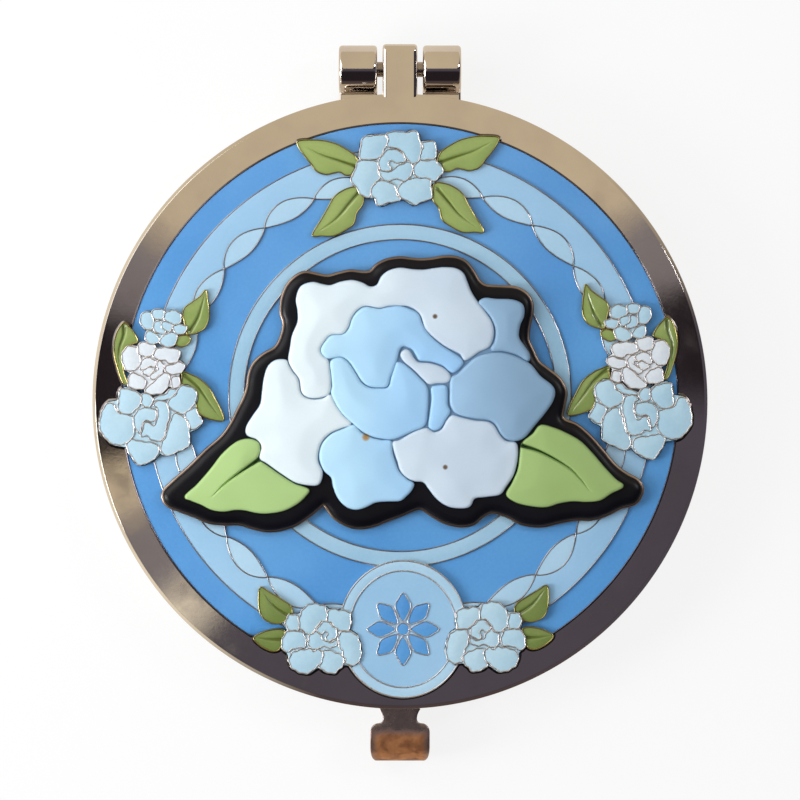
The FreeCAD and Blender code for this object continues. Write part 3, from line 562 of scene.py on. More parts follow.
def vinyl(name, deep, light, rough, crease_shade_tone=None, marks=(), gloss=0.5, painted_light_grade=None):
    """Soft matt moulding: fine grain, slow drift of tone, painted shade low in its creases, and a few pin
    marks.

    With a painted_light_grade it also goes, by a share, from its deep tone at one place across the case
    to its light one at another: painted light and shade across the badge.
    """
    material, shader, place = finish(name, IOR=1.46, Specular_IOR_Level=gloss)
    drift = place.noise(130, 2)
    grain = place.noise(5200, 3)
    tone = 0.8 * drift.over(*MIDTONES) + 0.2 * grain.over(*MIDTONES)
    if painted_light_grade:
        tone = swept(tone, place.part(0), *painted_light_grade)
    colour = tone.tint(deep, light)
    # Painted shade: low in the creases the colour goes over to the crease tone
    if crease_shade_tone:
        below, above = CREASE_SHADE
        colour = place.part(2).over(below * MM, above * MM).tint(crease_shade_tone, colour)
    for x, y, reach, mark in marks:
        across, along = place.part(0) - x * MM, place.part(1) - y * MM
        away = across * across + along * along
        colour = away.over((PIN_CORE * reach * MM) ** 2, (reach * MM) ** 2).tint(mark, colour)
    feed(
        shader,
        Base_Color=colour,
        Roughness=rough + 0.12 * grain,
        Normal=grain.bump(0.12, 0.03 * MM),
    )
    return material


def silvered_glass():
    """Mirror: near-perfect gloss with a trace of dust and wipe marks."""
    material, shader, place = finish("silvered_glass", Metallic=1.0)
    wipe = place.noise(160, 3, 1.5)
    feed(
        shader,
        Base_Color=wipe.over(0.3, 0.8).tint(ink(240, 244, 245), ink(236, 240, 242)),
        Roughness=0.005 + 0.015 * wipe.over(0.55, 0.85),
    )
    return material


def open_foam():
    """White adhesive foam: rough open cells."""
    material, shader, place = finish("open_foam", IOR=1.4)
    cells = place.node("ShaderNodeTexVoronoi", None, {"Vector": place, "Scale": 3000.0})
    feed(
        shader,
        Base_Color=cells.over(0.1, 0.6).tint(ink(205, 203, 196), ink(236, 234, 228)),
        Roughness=0.8 + 0.1 * cells,
        Normal=cells.bump(0.4, 0.1 * MM),
    )
    return material


# Finishes; a painted_light_grade gives painted light and shade across the case: the share, then where
# across or along the case it is deep and where light
CASE_METAL = polished_metal("case_metal", ink(222, 216, 210), ink(214, 207, 201), 0.02)
PIN_METAL = polished_metal("pin_metal", ink(170, 160, 152), ink(130, 120, 114), 0.26)
LINE_METAL = polished_metal("line_metal", ink(186, 182, 184), ink(146, 142, 146), 0.14)
LEAF_METAL = polished_metal("leaf_line_metal", ink(182, 170, 112), ink(136, 124, 76), 0.16)
# Near-black metal of the plaque bed's edge and the ornaments' feet: a painted shadow line round them on the
# rim
SHADOW_METAL = polished_metal("painted_shadow_metal", ink(48, 40, 46), ink(34, 29, 34), 0.3)
EDGE_METAL = polished_metal("badge_edge_metal", ink(158, 140, 126), ink(122, 106, 96), 0.3)
PETAL_METAL = polished_metal("petal_line_metal", ink(222, 218, 218), ink(190, 186, 188), 0.26)
BORDER_METAL = polished_metal("border_metal", ink(112, 104, 110), ink(84, 78, 84), 0.14)
LATCH_METAL = worn_latch_metal()
BLUE_ENAMEL = enamel("blue_enamel", ink(82, 149, 213), ink(97, 163, 222))
PALE_ENAMEL = enamel("pale_enamel", ink(152, 196, 229), ink(162, 204, 235))
RING_ENAMEL = enamel("ring_enamel", ink(152, 194, 221), ink(166, 205, 229))
RIBBON_ENAMEL = enamel("ribbon_enamel", ink(168, 206, 231), ink(182, 217, 239))
BLOSSOM_ENAMEL = enamel("blossom_enamel", ink(168, 206, 225), ink(189, 220, 235))
WHITE_ENAMEL = enamel("white_enamel", ink(207, 216, 225), ink(227, 235, 241))
# Leaf enamel: its third tone is the painted shade low in the fill, and its grade is painted light along the
# case
LEAF_ENAMEL = enamel("leaf_enamel", ink(108, 126, 64), ink(156, 175, 102), ink(94, 108, 44),
                     painted_light_grade=(0.7, -30, 30))
BLACK_VINYL = vinyl("black_vinyl", ink(9, 9, 15), ink(14, 14, 22), 0.28, gloss=0.24)
# Blue-grey sheet under the petals that shows only in the gaps between them: its tone is painted crease shade
WEB_SHADE_VINYL = vinyl("crease_shade_web_vinyl", ink(112, 146, 178), ink(122, 156, 188), 0.5)
# Painted shade in the creases of the blue and white mouldings
PAINTED_CREASE_SHADE = ink(122, 152, 180)
# Pin marks: place in millimetres, reach and colour
WHITE_MARKS = [(3.68, 8.92, 0.34, ink(92, 70, 48)), (4.75, -6.9, 0.34, ink(104, 82, 58))]
BLUE_MARKS = [(-3.59, -3.76, 0.5, ink(176, 140, 84))]
# The blue, deep blue, white and green mouldings carry painted light: lighter towards the left of the case
BLUE_VINYL = vinyl("blue_vinyl", ink(154, 202, 245), ink(194, 233, 250), 0.5, PAINTED_CREASE_SHADE, BLUE_MARKS,
                   painted_light_grade=(0.75, 6, -11))
DEEP_BLUE_VINYL = vinyl("deep_blue_vinyl", ink(130, 162, 190), ink(160, 198, 230), 0.5, PAINTED_CREASE_SHADE,
                        painted_light_grade=(0.8, 15, 4))
WHITE_VINYL = vinyl("white_vinyl", ink(198, 214, 230), ink(233, 246, 250), 0.5, PAINTED_CREASE_SHADE, WHITE_MARKS,
                    painted_light_grade=(0.75, 6, -11))
# The green moulding's third colour is the painted shade in its creases and vein groove
GREEN_VINYL = vinyl("green_vinyl", ink(156, 184, 112), ink(176, 208, 135), 0.5, ink(66, 96, 48),
                    painted_light_grade=(0.8, 16, -12))
GLASS = silvered_glass()
FOAM = open_foam()


# Pieces

# Points nearer than this, in metres, are one; edges over this angle stay sharp
MERGE, SHARP = 2e-7, np.radians(38)


def piece(name, shapes, body, slot, material, *nodes):
    """One object from one or more closed surfaces: doubles merged, faces outward, sharp edges kept."""
    points, faces, start = [], [], 0
    for shape_points, shape_faces in shapes:
        points.append(shape_points)
        for group in shape_faces:
            faces += (group + start).tolist()
        start += len(shape_points)
    mesh = bpy.data.meshes.new(name)
    mesh.from_pydata(np.vstack(points) * MM, [], faces)
    work = bmesh.new()
    work.from_mesh(mesh)
    bmesh.ops.remove_doubles(work, verts=work.verts, dist=MERGE)
    bmesh.ops.dissolve_degenerate(work, edges=work.edges, dist=MERGE)
    bmesh.ops.recalc_face_normals(work, faces=work.faces)
    work.to_mesh(mesh)
    work.free()
    mesh.polygons.foreach_set("use_smooth", np.ones(len(mesh.polygons), bool))
    mesh.set_sharp_from_angle(angle=SHARP)
    mesh.materials.append(material)
    made = bpy.data.objects.new(name, mesh)
    bpy.context.scene.collection.objects.link(made)
    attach(made, body)
    if nodes:
        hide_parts(*nodes)
    return made


def lid_cover():
    """Turned cover with a gently crowned rim, and the hinge lug as an eased slab across X.

    The rim ends in a narrow sloping face with a small arc at each of its edges.
    """
    fall = 0.03
    crown_r = np.linspace(PLAQUE_REACH, CASE_REACH - LIP, 8)
    crown_z = LID_TOP - fall * ((crown_r - PLAQUE_REACH) / (CASE_REACH - PLAQUE_REACH)) ** 2
    slope, steep, bend = np.radians(37), np.radians(54), CRISP

    def arc(middle_r, middle_z, turn):
        return np.column_stack([middle_r + bend * np.sin(turn), middle_z + bend * np.cos(turn)])

    face = LIP - bend * np.sin(steep)
    start_r, start_z = CASE_REACH - LIP, crown_z[-1] - bend
    lip = np.vstack([
        arc(start_r, start_z, np.linspace(0, slope, 6)[1:]),
        arc(start_r + face, start_z - face * np.tan(slope), np.linspace(slope, steep, 4)),
    ])
    skirt = [CASE_REACH, LID_UNDER + 0.18, CASE_REACH - 0.06, LID_UNDER + 0.05, CASE_REACH - 0.18, LID_UNDER]
    bay = [BAY_REACH + 0.15, LID_UNDER, BAY_REACH, LID_UNDER + 0.15, BAY_REACH, LID_CEILING, 0, LID_CEILING]
    top = np.vstack([[0, LID_TOP], np.column_stack([crown_r, crown_z])])
    shell = turned(np.vstack([top, lip, pairs(skirt), pairs(bay)]), 384)
    back, front = AXIS_Y + BARREL_REACH, AXIS_Y - BARREL_REACH
    under = AXIS_Z - BARREL_REACH
    over = crown_z[-1] - 0.005
    strap = [LUG_START, over, back, over, back, under, front, under, front, LUG_UNDER, LUG_START, LUG_UNDER]
    round_under = BARREL_REACH - CRISP
    lug = evenly(eased(strap, [CRISP, 0.75, round_under, round_under, 0.15, CRISP], 10), 200)
    return [shell, bar(lug, -LUG_HALF, LUG_HALF, 0.34, 0.6)]


def base_tray():
    """Turned tray, two knuckle tubes on eased webs, and the rounded catch in front."""
    wall = eased([0, 0, CASE_REACH, 0, CASE_REACH, BASE_TOP, BAY_REACH, BASE_TOP, BAY_REACH, BASE_FLOOR,
                  0, BASE_FLOOR], [0, 0.5, 0.18, 0.12, 0.1, 0], 5)
    web_end = AXIS_Z - BARREL_REACH + 0.02
    web = eased([WEB_START, WEB_LOW, WEB_BEND, WEB_LOW, AXIS_Y, web_end, AXIS_Y, BASE_TOP,
                 WEB_START, BASE_TOP], [CRISP, 0.3, CRISP, CRISP, CRISP])
    block = bar(evenly(web, 100), KNUCKLE_NEAR, KNUCKLE_FAR, 0.15, 0.8)
    tube = barrel(KNUCKLE_NEAR, KNUCKLE_FAR, BARREL_REACH, BORE_REACH, KNUCKLE_EASE)
    nose = eased([CATCH_START, CATCH_LOW, CATCH_END, CATCH_LOW, CATCH_END, CATCH_HIGH,
                  CATCH_START, CATCH_HIGH], [CRISP, 0.45, 0.45, CRISP])
    catch = bar(evenly(nose, 120), -CATCH_HALF, CATCH_HALF, 0.2, 0.6)
    return [turned(wall), block, mirrored(block), tube, mirrored(tube), catch]


def latch_spring():
    """Flat T-shaped blank bent along its length.

    A blank point (across, along, thick) goes to the centre line at `along` plus its normal times
    `thick`; the line is straight, turns down on a wide arc, drops, and hooks back on a small arc.
    """
    side = pairs([1.8, 0, 1.8, 1.75, 2.2, 1.85, 1.8, 2.5, 1.8, 3.4, 3.15, 3.45, 3.15, 6.9, 2.5, 8.9,
                  2.4, 11.55])
    radii = [CRISP, CRISP, CRISP, 0.4, 0.42, 0.85, 0.9, 0.9, 0.3]
    blank = np.vstack([side, (side * (-1, 1))[::-1]])
    outline = evenly(eased(blank, radii + radii[::-1], 8), 180)
    edge = (0.1, 0.09)
    points, faces = moulded(outline, -LATCH_HALF_THICK, LATCH_HALF_THICK, edge, edge, spacing=0.38)
    across, along, thick = points.T
    quarter = np.pi / 2
    bend_at, drop_at, hook_at, tail_at = np.cumsum(
        [LATCH_FLAT, LATCH_BEND * quarter, LATCH_DROP, HOOK_BEND * quarter])
    turn = np.clip((along - bend_at) / LATCH_BEND, 0, quarter)
    hook = np.clip((along - hook_at) / HOOK_BEND, 0, quarter)
    flat, drop = np.clip(along, 0, bend_at), np.clip(along - drop_at, 0, LATCH_DROP)
    tail = np.clip(along - tail_at, 0, None)
    y = LATCH_START - flat - LATCH_BEND * np.sin(turn) + HOOK_BEND * (1 - np.cos(hook)) + tail
    z = LATCH_LEVEL - LATCH_BEND * (1 - np.cos(turn)) - drop - HOOK_BEND * np.sin(hook)
    lean = turn + hook
    y, z = y - np.sin(lean) * thick, z + np.cos(lean) * thick
    return [(np.column_stack([across, y, z]), faces)]


def foam_square(half, low, high):
    """Square of foam with softly rounded corners and edges."""
    outline = evenly(eased([-half, -half, half, -half, half, half, -half, half], FOAM_CORNER, 8), 120)
    soft = (0.5 * (high - low), 0.45 * (high - low))
    return [moulded(outline, low, high, soft, soft, spacing=2.0)]


# Plaque: bands and lines


def cut_round(reach, cut, count=360):
    """Circle whose front is cut off straight."""
    corner = np.arccos(cut / reach)
    return clockwise(reach, np.linspace(-corner, corner, count))


def swung(angle, side):
    """Radius of one strand: in each lens it swings out or in by a full half sine that leans downwards."""
    share = np.mod((angle - np.radians(FIRST_NODE)) * LENSES / (2 * np.pi), 1.0)
    late, early = share**LEAN, 1 - (1 - share) ** LEAN
    swing = np.sin(np.pi * np.where((np.sin(angle) > 0) == (side > 0), late, early)) ** FULLNESS
    return RIBBON_REACH + np.where(side > 0, SWING_OUT, -SWING_IN) * swing


def strand(first):
    """One strand of the twisted ribbon: outside in every other lens and inside in those between."""
    a = np.radians(FIRST_NODE) + np.linspace(0, 2 * np.pi, LENSES * LENS_STEPS, endpoint=False)
    lens = np.arange(len(a)) // LENS_STEPS
    return clockwise(swung(a, np.where((lens + first) % 2 == 0, 1, -1)), a)


def lens_outline(index):
    """Cell between two crossings: both strands of that stretch, one out and one back."""
    ends, gap = (0.02, 0.98), 0.03
    first, last = (np.radians(FIRST_NODE + (index + share) * 360 / LENSES) for share in ends)
    a = np.linspace(first, last, 30)
    return np.vstack([clockwise(swung(a, 1) - gap, a), clockwise(swung(a, -1) + gap, a)[::-1]])


def garland_band():
    """Ring from the ribbon's outer side to the garland's edge: a grid of angle and share of the way out."""
    a = np.linspace(0, 2 * np.pi, 720, endpoint=False)
    inner = swung(a, 1)
    to_cut = GARLAND_CUT / np.minimum(np.cos(a), -1e-3)
    outer = np.where(np.cos(a) < 0, np.minimum(GARLAND_REACH, to_cut), GARLAND_REACH)
    outer = np.maximum(outer, inner + 0.05)
    share = np.array([0, 0.0, 0.04, 0.12, 0.5, 0.88, 0.96, 1.0, 1.0])
    level = np.array([-0.2, -0.03, 0.0, 0.012, 0.0, 0.012, 0.0, -0.03, -0.2]) + BAND_TOP
    radius = inner[:, None] + (outer - inner)[:, None] * share[None]
    plan = clockwise(radius, a[:, None])
    height = np.broadcast_to(level, radius.shape)[..., None]
    return lattice(np.concatenate([plan, height], axis=2), True, True)


def plaque_circle(reach, count):
    """Circle about the middle of the plaque's inner ring."""
    return oval(0, RING_RISE, reach, reach, count)


def flat_ring(path, half, foot, top):
    """Low coat along a path between two lines: upright sides, slightly hollow top."""
    return carried(path, [half, foot, half, top - 0.02, half * 0.85, top, 0, top - 0.015, -half * 0.85, top,
                          -half, top - 0.02, -half, foot])


# Small flowers and leaves: outlines on three drawing sheets (column and row of the case's middle, unit)

TOP_SHEET = (784, 1904, 0.016167)
SIDE_SHEET = (-1140, 937, 0.014818)
LOW_SHEET = (784, -777, 0.021555)
# How far the left-hand group of each sheet lies from the mirror image of the right-hand one
TOP_SHIFT, SIDE_SHIFT, LOW_SHIFT = (-0.41, -0.40), (-0.90, -0.60), (0.75, -0.20)

TOP_PETALS = [
    [530, 320, 533, 250, 548, 190, 600, 180, 685, 172, 702, 200, 690, 235, 672, 262, 665, 300, 610, 322],
    [700, 165, 755, 152, 830, 157, 885, 147, 903, 195, 918, 250, 908, 310, 890, 345, 855, 345, 820, 300,
     790, 262, 740, 245, 705, 240, 712, 205],
    [935, 225, 1000, 215, 1012, 250, 1015, 300, 990, 325, 925, 328, 925, 280, 940, 255],
    [880, 375, 920, 340, 1000, 335, 1030, 360, 1062, 400, 1040, 430, 1005, 465, 960, 445, 900, 440,
     878, 410],
    [810, 480, 870, 455, 920, 455, 975, 460, 980, 520, 985, 575, 920, 600, 880, 620, 850, 600, 790, 570,
     775, 520],
    [600, 530, 620, 490, 660, 470, 720, 485, 750, 510, 760, 560, 780, 590, 700, 605, 645, 625, 625, 580,
     600, 555],
    [510, 350, 560, 335, 630, 350, 635, 390, 650, 440, 620, 480, 590, 520, 580, 570, 530, 550, 500, 500,
     470, 470, 480, 430, 500, 390],
    [650, 340, 680, 290, 720, 268, 770, 275, 800, 300, 815, 335, 760, 345, 725, 330, 700, 355, 720, 385,
     700, 400, 660, 390],
    [830, 350, 856, 360, 860, 400, 842, 440, 808, 465, 760, 448, 700, 465, 662, 436, 645, 400, 690, 415,
     735, 405, 770, 375, 800, 365],
]
TOP_LEAVES = [
    ([1425, 185, 1415, 230, 1380, 280, 1340, 330, 1300, 380, 1240, 400, 1190, 390, 1150, 385, 1110, 405,
      1060, 395, 1030, 350, 1035, 310, 1060, 270, 1120, 230, 1180, 200, 1260, 180, 1340, 175],
     [1050, 345, 1150, 310, 1270, 270, 1380, 215]),
    ([1000, 510, 1020, 480, 1080, 485, 1140, 510, 1190, 550, 1230, 620, 1270, 690, 1330, 795, 1270, 800,
      1190, 800, 1110, 760, 1060, 720, 1040, 650, 1000, 590],
     [1030, 520, 1090, 590, 1175, 690, 1290, 775]),
]
SIDE_SMALL = [
    [365, 280, 400, 255, 450, 265, 475, 290, 460, 320, 430, 335, 390, 345, 360, 320],
    [480, 260, 520, 245, 560, 265, 545, 300, 510, 310, 482, 290],
    [572, 275, 610, 265, 640, 300, 635, 345, 610, 375, 570, 380, 555, 340, 562, 300],
    [320, 370, 360, 355, 405, 365, 400, 395, 370, 415, 330, 400],
    [390, 425, 430, 412, 470, 430, 500, 460, 490, 490, 440, 505, 400, 480],
    [530, 432, 570, 402, 600, 410, 602, 450, 580, 480, 530, 478, 515, 455],
    [425, 355, 460, 335, 490, 345, 480, 372, 450, 395, 430, 385],
    [505, 330, 540, 342, 545, 380, 520, 405, 480, 410, 465, 400, 495, 380],
]
SIDE_WHITE = [
    [370, 540, 420, 525, 490, 520, 540, 540, 545, 578, 510, 595, 470, 600, 430, 622, 382, 600],
    [545, 505, 590, 490, 640, 482, 655, 520, 645, 560, 600, 572, 560, 560, 548, 532],
    [680, 520, 730, 510, 770, 560, 765, 620, 740, 670, 690, 668, 652, 630, 650, 590, 664, 560],
    [335, 640, 370, 622, 420, 642, 462, 650, 450, 690, 400, 698, 350, 680],
    [375, 730, 412, 725, 420, 760, 412, 795, 380, 790, 367, 760],
    [445, 710, 480, 702, 520, 735, 560, 775, 598, 805, 598, 835, 540, 840, 490, 830, 452, 780],
    [612, 752, 650, 718, 708, 702, 725, 750, 720, 790, 660, 805, 620, 795],
    [482, 645, 510, 612, 525, 640, 510, 670, 540, 690, 575, 720, 555, 735, 520, 712, 490, 685],
    [540, 615, 575, 595, 612, 595, 642, 632, 638, 668, 606, 655, 570, 640, 545, 650],
    [555, 665, 590, 660, 625, 685, 605, 705, 578, 705],
]
SIDE_BIG = [
    [252, 830, 290, 800, 350, 790, 375, 822, 392, 855, 438, 892, 438, 930, 400, 958, 345, 978, 290, 940,
     257, 890],
    [208, 1040, 240, 990, 252, 950, 290, 962, 322, 990, 310, 1030, 285, 1088, 240, 1070],
    [302, 1060, 330, 1022, 360, 1002, 400, 985, 418, 1020, 436, 1062, 450, 1112, 465, 1160, 488, 1192,
     492, 1250, 450, 1278, 400, 1255, 340, 1230, 302, 1200, 302, 1130],
    [517, 1230, 560, 1195, 610, 1192, 660, 1182, 710, 1175, 738, 1202, 720, 1260, 690, 1300, 660, 1342,
     600, 1328, 540, 1290],
    [702, 1012, 760, 992, 812, 978, 832, 932, 870, 912, 908, 960, 925, 1020, 928, 1090, 890, 1150,
     850, 1188, 790, 1198, 732, 1178, 694, 1120, 702, 1060],
    [642, 870, 680, 832, 730, 817, 780, 812, 790, 860, 798, 930, 788, 968, 730, 982, 692, 958, 654, 918],
    [562, 882, 600, 845, 628, 852, 636, 890, 618, 928, 582, 932],
    [392, 822, 430, 815, 465, 850, 525, 868, 545, 885, 500, 882, 455, 878, 420, 856],
    [448, 960, 470, 905, 520, 898, 545, 920, 520, 945, 515, 1000, 535, 1060, 560, 1075, 590, 1050,
     615, 1060, 625, 1110, 640, 1140, 600, 1135, 560, 1165, 505, 1170, 475, 1130, 465, 1070, 446, 1010],
    [548, 960, 610, 945, 658, 965, 686, 1012, 680, 1070, 650, 1115, 635, 1050, 600, 1025, 560, 1035,
     535, 1000],
]
SIDE_LEAVES = [
    ([180, 105, 222, 150, 280, 192, 330, 232, 343, 280, 330, 340, 318, 390, 306, 420, 250, 410, 192, 380,
      162, 320, 157, 250, 166, 170],
     [290, 395, 240, 310, 208, 220, 188, 140]),
    ([292, 442, 330, 424, 378, 442, 393, 488, 360, 508, 322, 498, 292, 470], None),
    ([662, 470, 682, 420, 720, 372, 760, 338, 798, 380, 823, 440, 833, 520, 823, 600, 800, 680, 780, 740,
      756, 778, 738, 768, 760, 700, 770, 640, 776, 570, 748, 510, 702, 490],
     [760, 365, 765, 430, 798, 540, 790, 660]),
    ([348, 684, 348, 722, 346, 780, 300, 792, 250, 842, 248, 900, 230, 978, 150, 1022, 55, 1032, 72, 960,
      112, 880, 162, 792, 232, 732, 290, 704],
     [330, 712, 240, 790, 160, 900, 80, 1010]),
]
LOW_PETALS = [
    [1068, 250, 1120, 237, 1158, 232, 1172, 270, 1158, 298, 1110, 328, 1068, 323],
    [1180, 250, 1192, 217, 1250, 207, 1290, 232, 1308, 280, 1298, 325, 1252, 348, 1228, 308, 1204, 286,
     1178, 280],
    [1322, 267, 1360, 262, 1374, 300, 1355, 328, 1318, 325],
    [1292, 352, 1340, 337, 1378, 352, 1393, 400, 1378, 433, 1330, 415, 1284, 408],
    [1200, 442, 1232, 428, 1270, 427, 1338, 442, 1358, 480, 1338, 518, 1280, 540, 1232, 510, 1204, 480],
    [1092, 470, 1140, 442, 1188, 434, 1194, 480, 1206, 513, 1150, 540, 1120, 520, 1102, 500],
    [1012, 440, 1022, 380, 1052, 347, 1108, 347, 1113, 400, 1095, 438, 1085, 488, 1042, 498, 1017, 470],
    [1130, 352, 1152, 304, 1188, 294, 1222, 330, 1205, 345, 1185, 335, 1165, 352, 1180, 372, 1160, 380],
    [1235, 340, 1260, 365, 1262, 400, 1240, 430, 1204, 408, 1150, 412, 1124, 385, 1165, 395, 1200, 378,
     1212, 355],
]
LOW_LEAVES = [
    ([1500, 122, 1510, 170, 1504, 240, 1480, 280, 1430, 300, 1386, 290, 1348, 255, 1352, 215, 1400, 180,
      1450, 150],
     [1365, 260, 1430, 215, 1490, 145]),
    ([1388, 332, 1430, 327, 1490, 342, 1533, 370, 1500, 408, 1450, 433, 1412, 428, 1392, 390, 1382, 350],
     [1398, 378, 1460, 376, 1515, 371]),
]

# Depth of the waves on each group's petals, their length, and how far a petal is grown to meet its line
RUFFLE = {"top": 0.02, "side": 0.03, "white": 0.03, "low": 0.05}
RUFFLE_WAVE, PETAL_GROWTH = 0.9, 0.09
# Below a cell's top: the edge of its fill, the floor between a flower's cells, and the top of its foot
FILL_DROP, BED_DROP, FOOT_DROP = 0.07, 0.15, 0.2
# Depth of a leaf's rib, and how far a foot spreads
RIB_DEPTH, FOOT_SPREAD = 0.22, 0.24


def cell_outline(sheet, numbers, kind):
    """Closed cell outline, smooth, with close points; a petal's is a little larger and wavy."""
    outline = drawn_outline(sheet, numbers, 0.1, 36)
    return outline if kind == "leaf" else ruffled(grown(outline, PETAL_GROWTH), RUFFLE[kind], RUFFLE_WAVE)


def cell_fill(outline, top, rib=None):
    """Enamel of one cell: a low cushion that meets the line round it, a leaf's grooved along its rib."""
    groove = (smooth(rib, 40, closed=False), RIB_DEPTH) if rib is not None else None
    return moulded(outline, PLAQUE_TOP, top - FILL_DROP, (0.14, 0.06), swell=0.08, reach=0.9, groove=groove,
                   spacing=0.4)


def cell_line(outline, top):
    """Metal line round one cell."""
    return carried(outline, ridge(LINE, PLAQUE_TOP, top))


def cell_foot(outline, top):
    """Wall of one cell's mount, which spreads below the enamel towards the lid: a painted shadow round the
    cell.
    """
    high, low = top - FOOT_DROP, LID_TOP - 0.02
    return carried(outline, [LINE, high, LINE, GROUND_TOP, LINE + FOOT_SPREAD, low, 0, low, 0, high])


def bed_edge(outlines):
    """Edge of the floor under the cells of one flower.

    It is the farthest reach of the cells at each angle round their middle, with its leaps from one
    angle to the next held down, and drawn in a little.
    """
    width, leap, inset = 0.09, 0.25, 0.1
    points = np.vstack(outlines)
    middle = points.mean(0)
    away = points - middle
    angle, reach = np.arctan2(away[:, 1], away[:, 0]), np.linalg.norm(away, axis=1)
    steps = np.linspace(-np.pi, np.pi, 96, endpoint=False)
    apart = np.abs((angle[None] - steps[:, None] + np.pi) % (2 * np.pi) - np.pi)
    far = np.max(np.where(apart < width, reach[None], 0), axis=1)
    far = np.minimum(far, np.minimum(np.roll(far, 1), np.roll(far, -1)) + leap) - inset
    return middle + far[:, None] * np.stack([np.cos(steps), np.sin(steps)], axis=1)


def both(shapes, shift):
    """The shapes and, if a shift is given, their mirror images moved by it."""
    if shift is None:
        return shapes
    return shapes + [(points + (*shift, 0), faces) for points, faces in map(mirrored, shapes)]


def ornaments():
    """Fills by enamel, metal lines by kind, and the feet of the flowers and leaves, whose dark metal is
    painted shadow.
    """
    fills = {"pale": [], "white": [], "leaf": []}
    lines = {"petal": [], "leaf": []}
    feet = []
    groups = [
        ("top", TOP_SHEET, TOP_PETALS, BLOSSOM_TOP, None),
        ("side", SIDE_SHEET, SIDE_BIG, BLOSSOM_TOP, SIDE_SHIFT),
        ("white", SIDE_SHEET, SIDE_WHITE, BLOSSOM_TOP - 0.03, SIDE_SHIFT),
        ("side", SIDE_SHEET, SIDE_SMALL, BLOSSOM_TOP - 0.05, SIDE_SHIFT),
        ("low", LOW_SHEET, LOW_PETALS, BLOSSOM_TOP, LOW_SHIFT),
        ("leaf", TOP_SHEET, TOP_LEAVES, LEAF_TOP, TOP_SHIFT),
        ("leaf", SIDE_SHEET, SIDE_LEAVES, LEAF_TOP, SIDE_SHIFT),
        ("leaf", LOW_SHEET, LOW_LEAVES, LEAF_TOP, LOW_SHIFT),
    ]
    for kind, sheet, cells, top, shift in groups:
        if kind == "leaf":
            cells, ribs = zip(*cells)
            ribs = [drawn(sheet, rib) if rib else None for rib in ribs]
        else:
            ribs = [None] * len(cells)
        outlines = [cell_outline(sheet, numbers, kind) for numbers in cells]
        fill = [cell_fill(outline, top, rib) for outline, rib in zip(outlines, ribs)]
        line = [cell_line(outline, top) for outline in outlines]
        foot = [cell_foot(outline, top) for outline in outlines]
        if kind != "leaf":
            edge = bed_edge(outlines)
            fill.append(moulded(edge, PLAQUE_TOP, top - BED_DROP, (0.1, 0.05), spacing=0.7))
            foot.append(cell_foot(edge, top + 0.03))
        fills[kind if kind in fills else "pale"] += both(fill, shift)
        lines["leaf" if kind == "leaf" else "petal"] += both(line, shift)
        feet += both(foot, shift)
    return fills, lines, feet


def medallion():
    """Oval medallion: rim coat, field coat, and a rosette of eight pointed petals round a small heart."""
    x, y, wide, tall = MEDALLION
    half = MEDALLION_BAND / 2
    rim = oval(x, y, wide - half, tall - half, 160)
    field = oval(x, y, wide - MEDALLION_BAND, tall - MEDALLION_BAND, 140)
    high = BLOSSOM_TOP - 0.16
    line_top, coat_top, field_top = high + 0.02, high - 0.04, high - 0.1
    rim_coat = flat_ring(rim, half - 0.03, LID_TOP, coat_top)
    field_coat = moulded(field, LID_TOP, field_top, (0.3, 0.04), spacing=0.8)
    petal = pairs([0, 0.85, -0.55, 1.7, -0.78, 2.5, -0.45, 3.2, 0, 3.75, 0.45, 3.2, 0.78, 2.5, 0.55, 1.7])
    petal = smooth(petal, 48)
    turn = np.arange(8) * np.pi / 4
    cosine, sine = np.cos(turn)[:, None], np.sin(turn)[:, None]
    around_x = x + petal[None, :, 0] * cosine + petal[None, :, 1] * sine
    around_y = y - petal[None, :, 0] * sine + petal[None, :, 1] * cosine
    petals = list(np.stack([around_x, around_y], axis=2)) + [oval(x, y, 0.62, 0.62, 40)]
    rosette = [moulded(shape, LID_TOP, coat_top, (0.15, 0.05), swell=0.04, reach=0.7, spacing=0.4)
               for shape in petals]
    lines = [carried(grown(shape, 0.04), ridge(0.06, LID_TOP, line_top)) for shape in petals]
    rim_edge = oval(x, y, wide, tall, 200)
    lines.append(carried(rim_edge, ridge(LINE * 1.2, LID_TOP - 0.02, line_top)))
    lines.append(carried(field, ridge(LINE, LID_TOP, line_top)))
    return rim_coat, field_coat, rosette, lines, cell_foot(rim_edge, high)


# Badge: outlines on one drawing sheet, front petals first

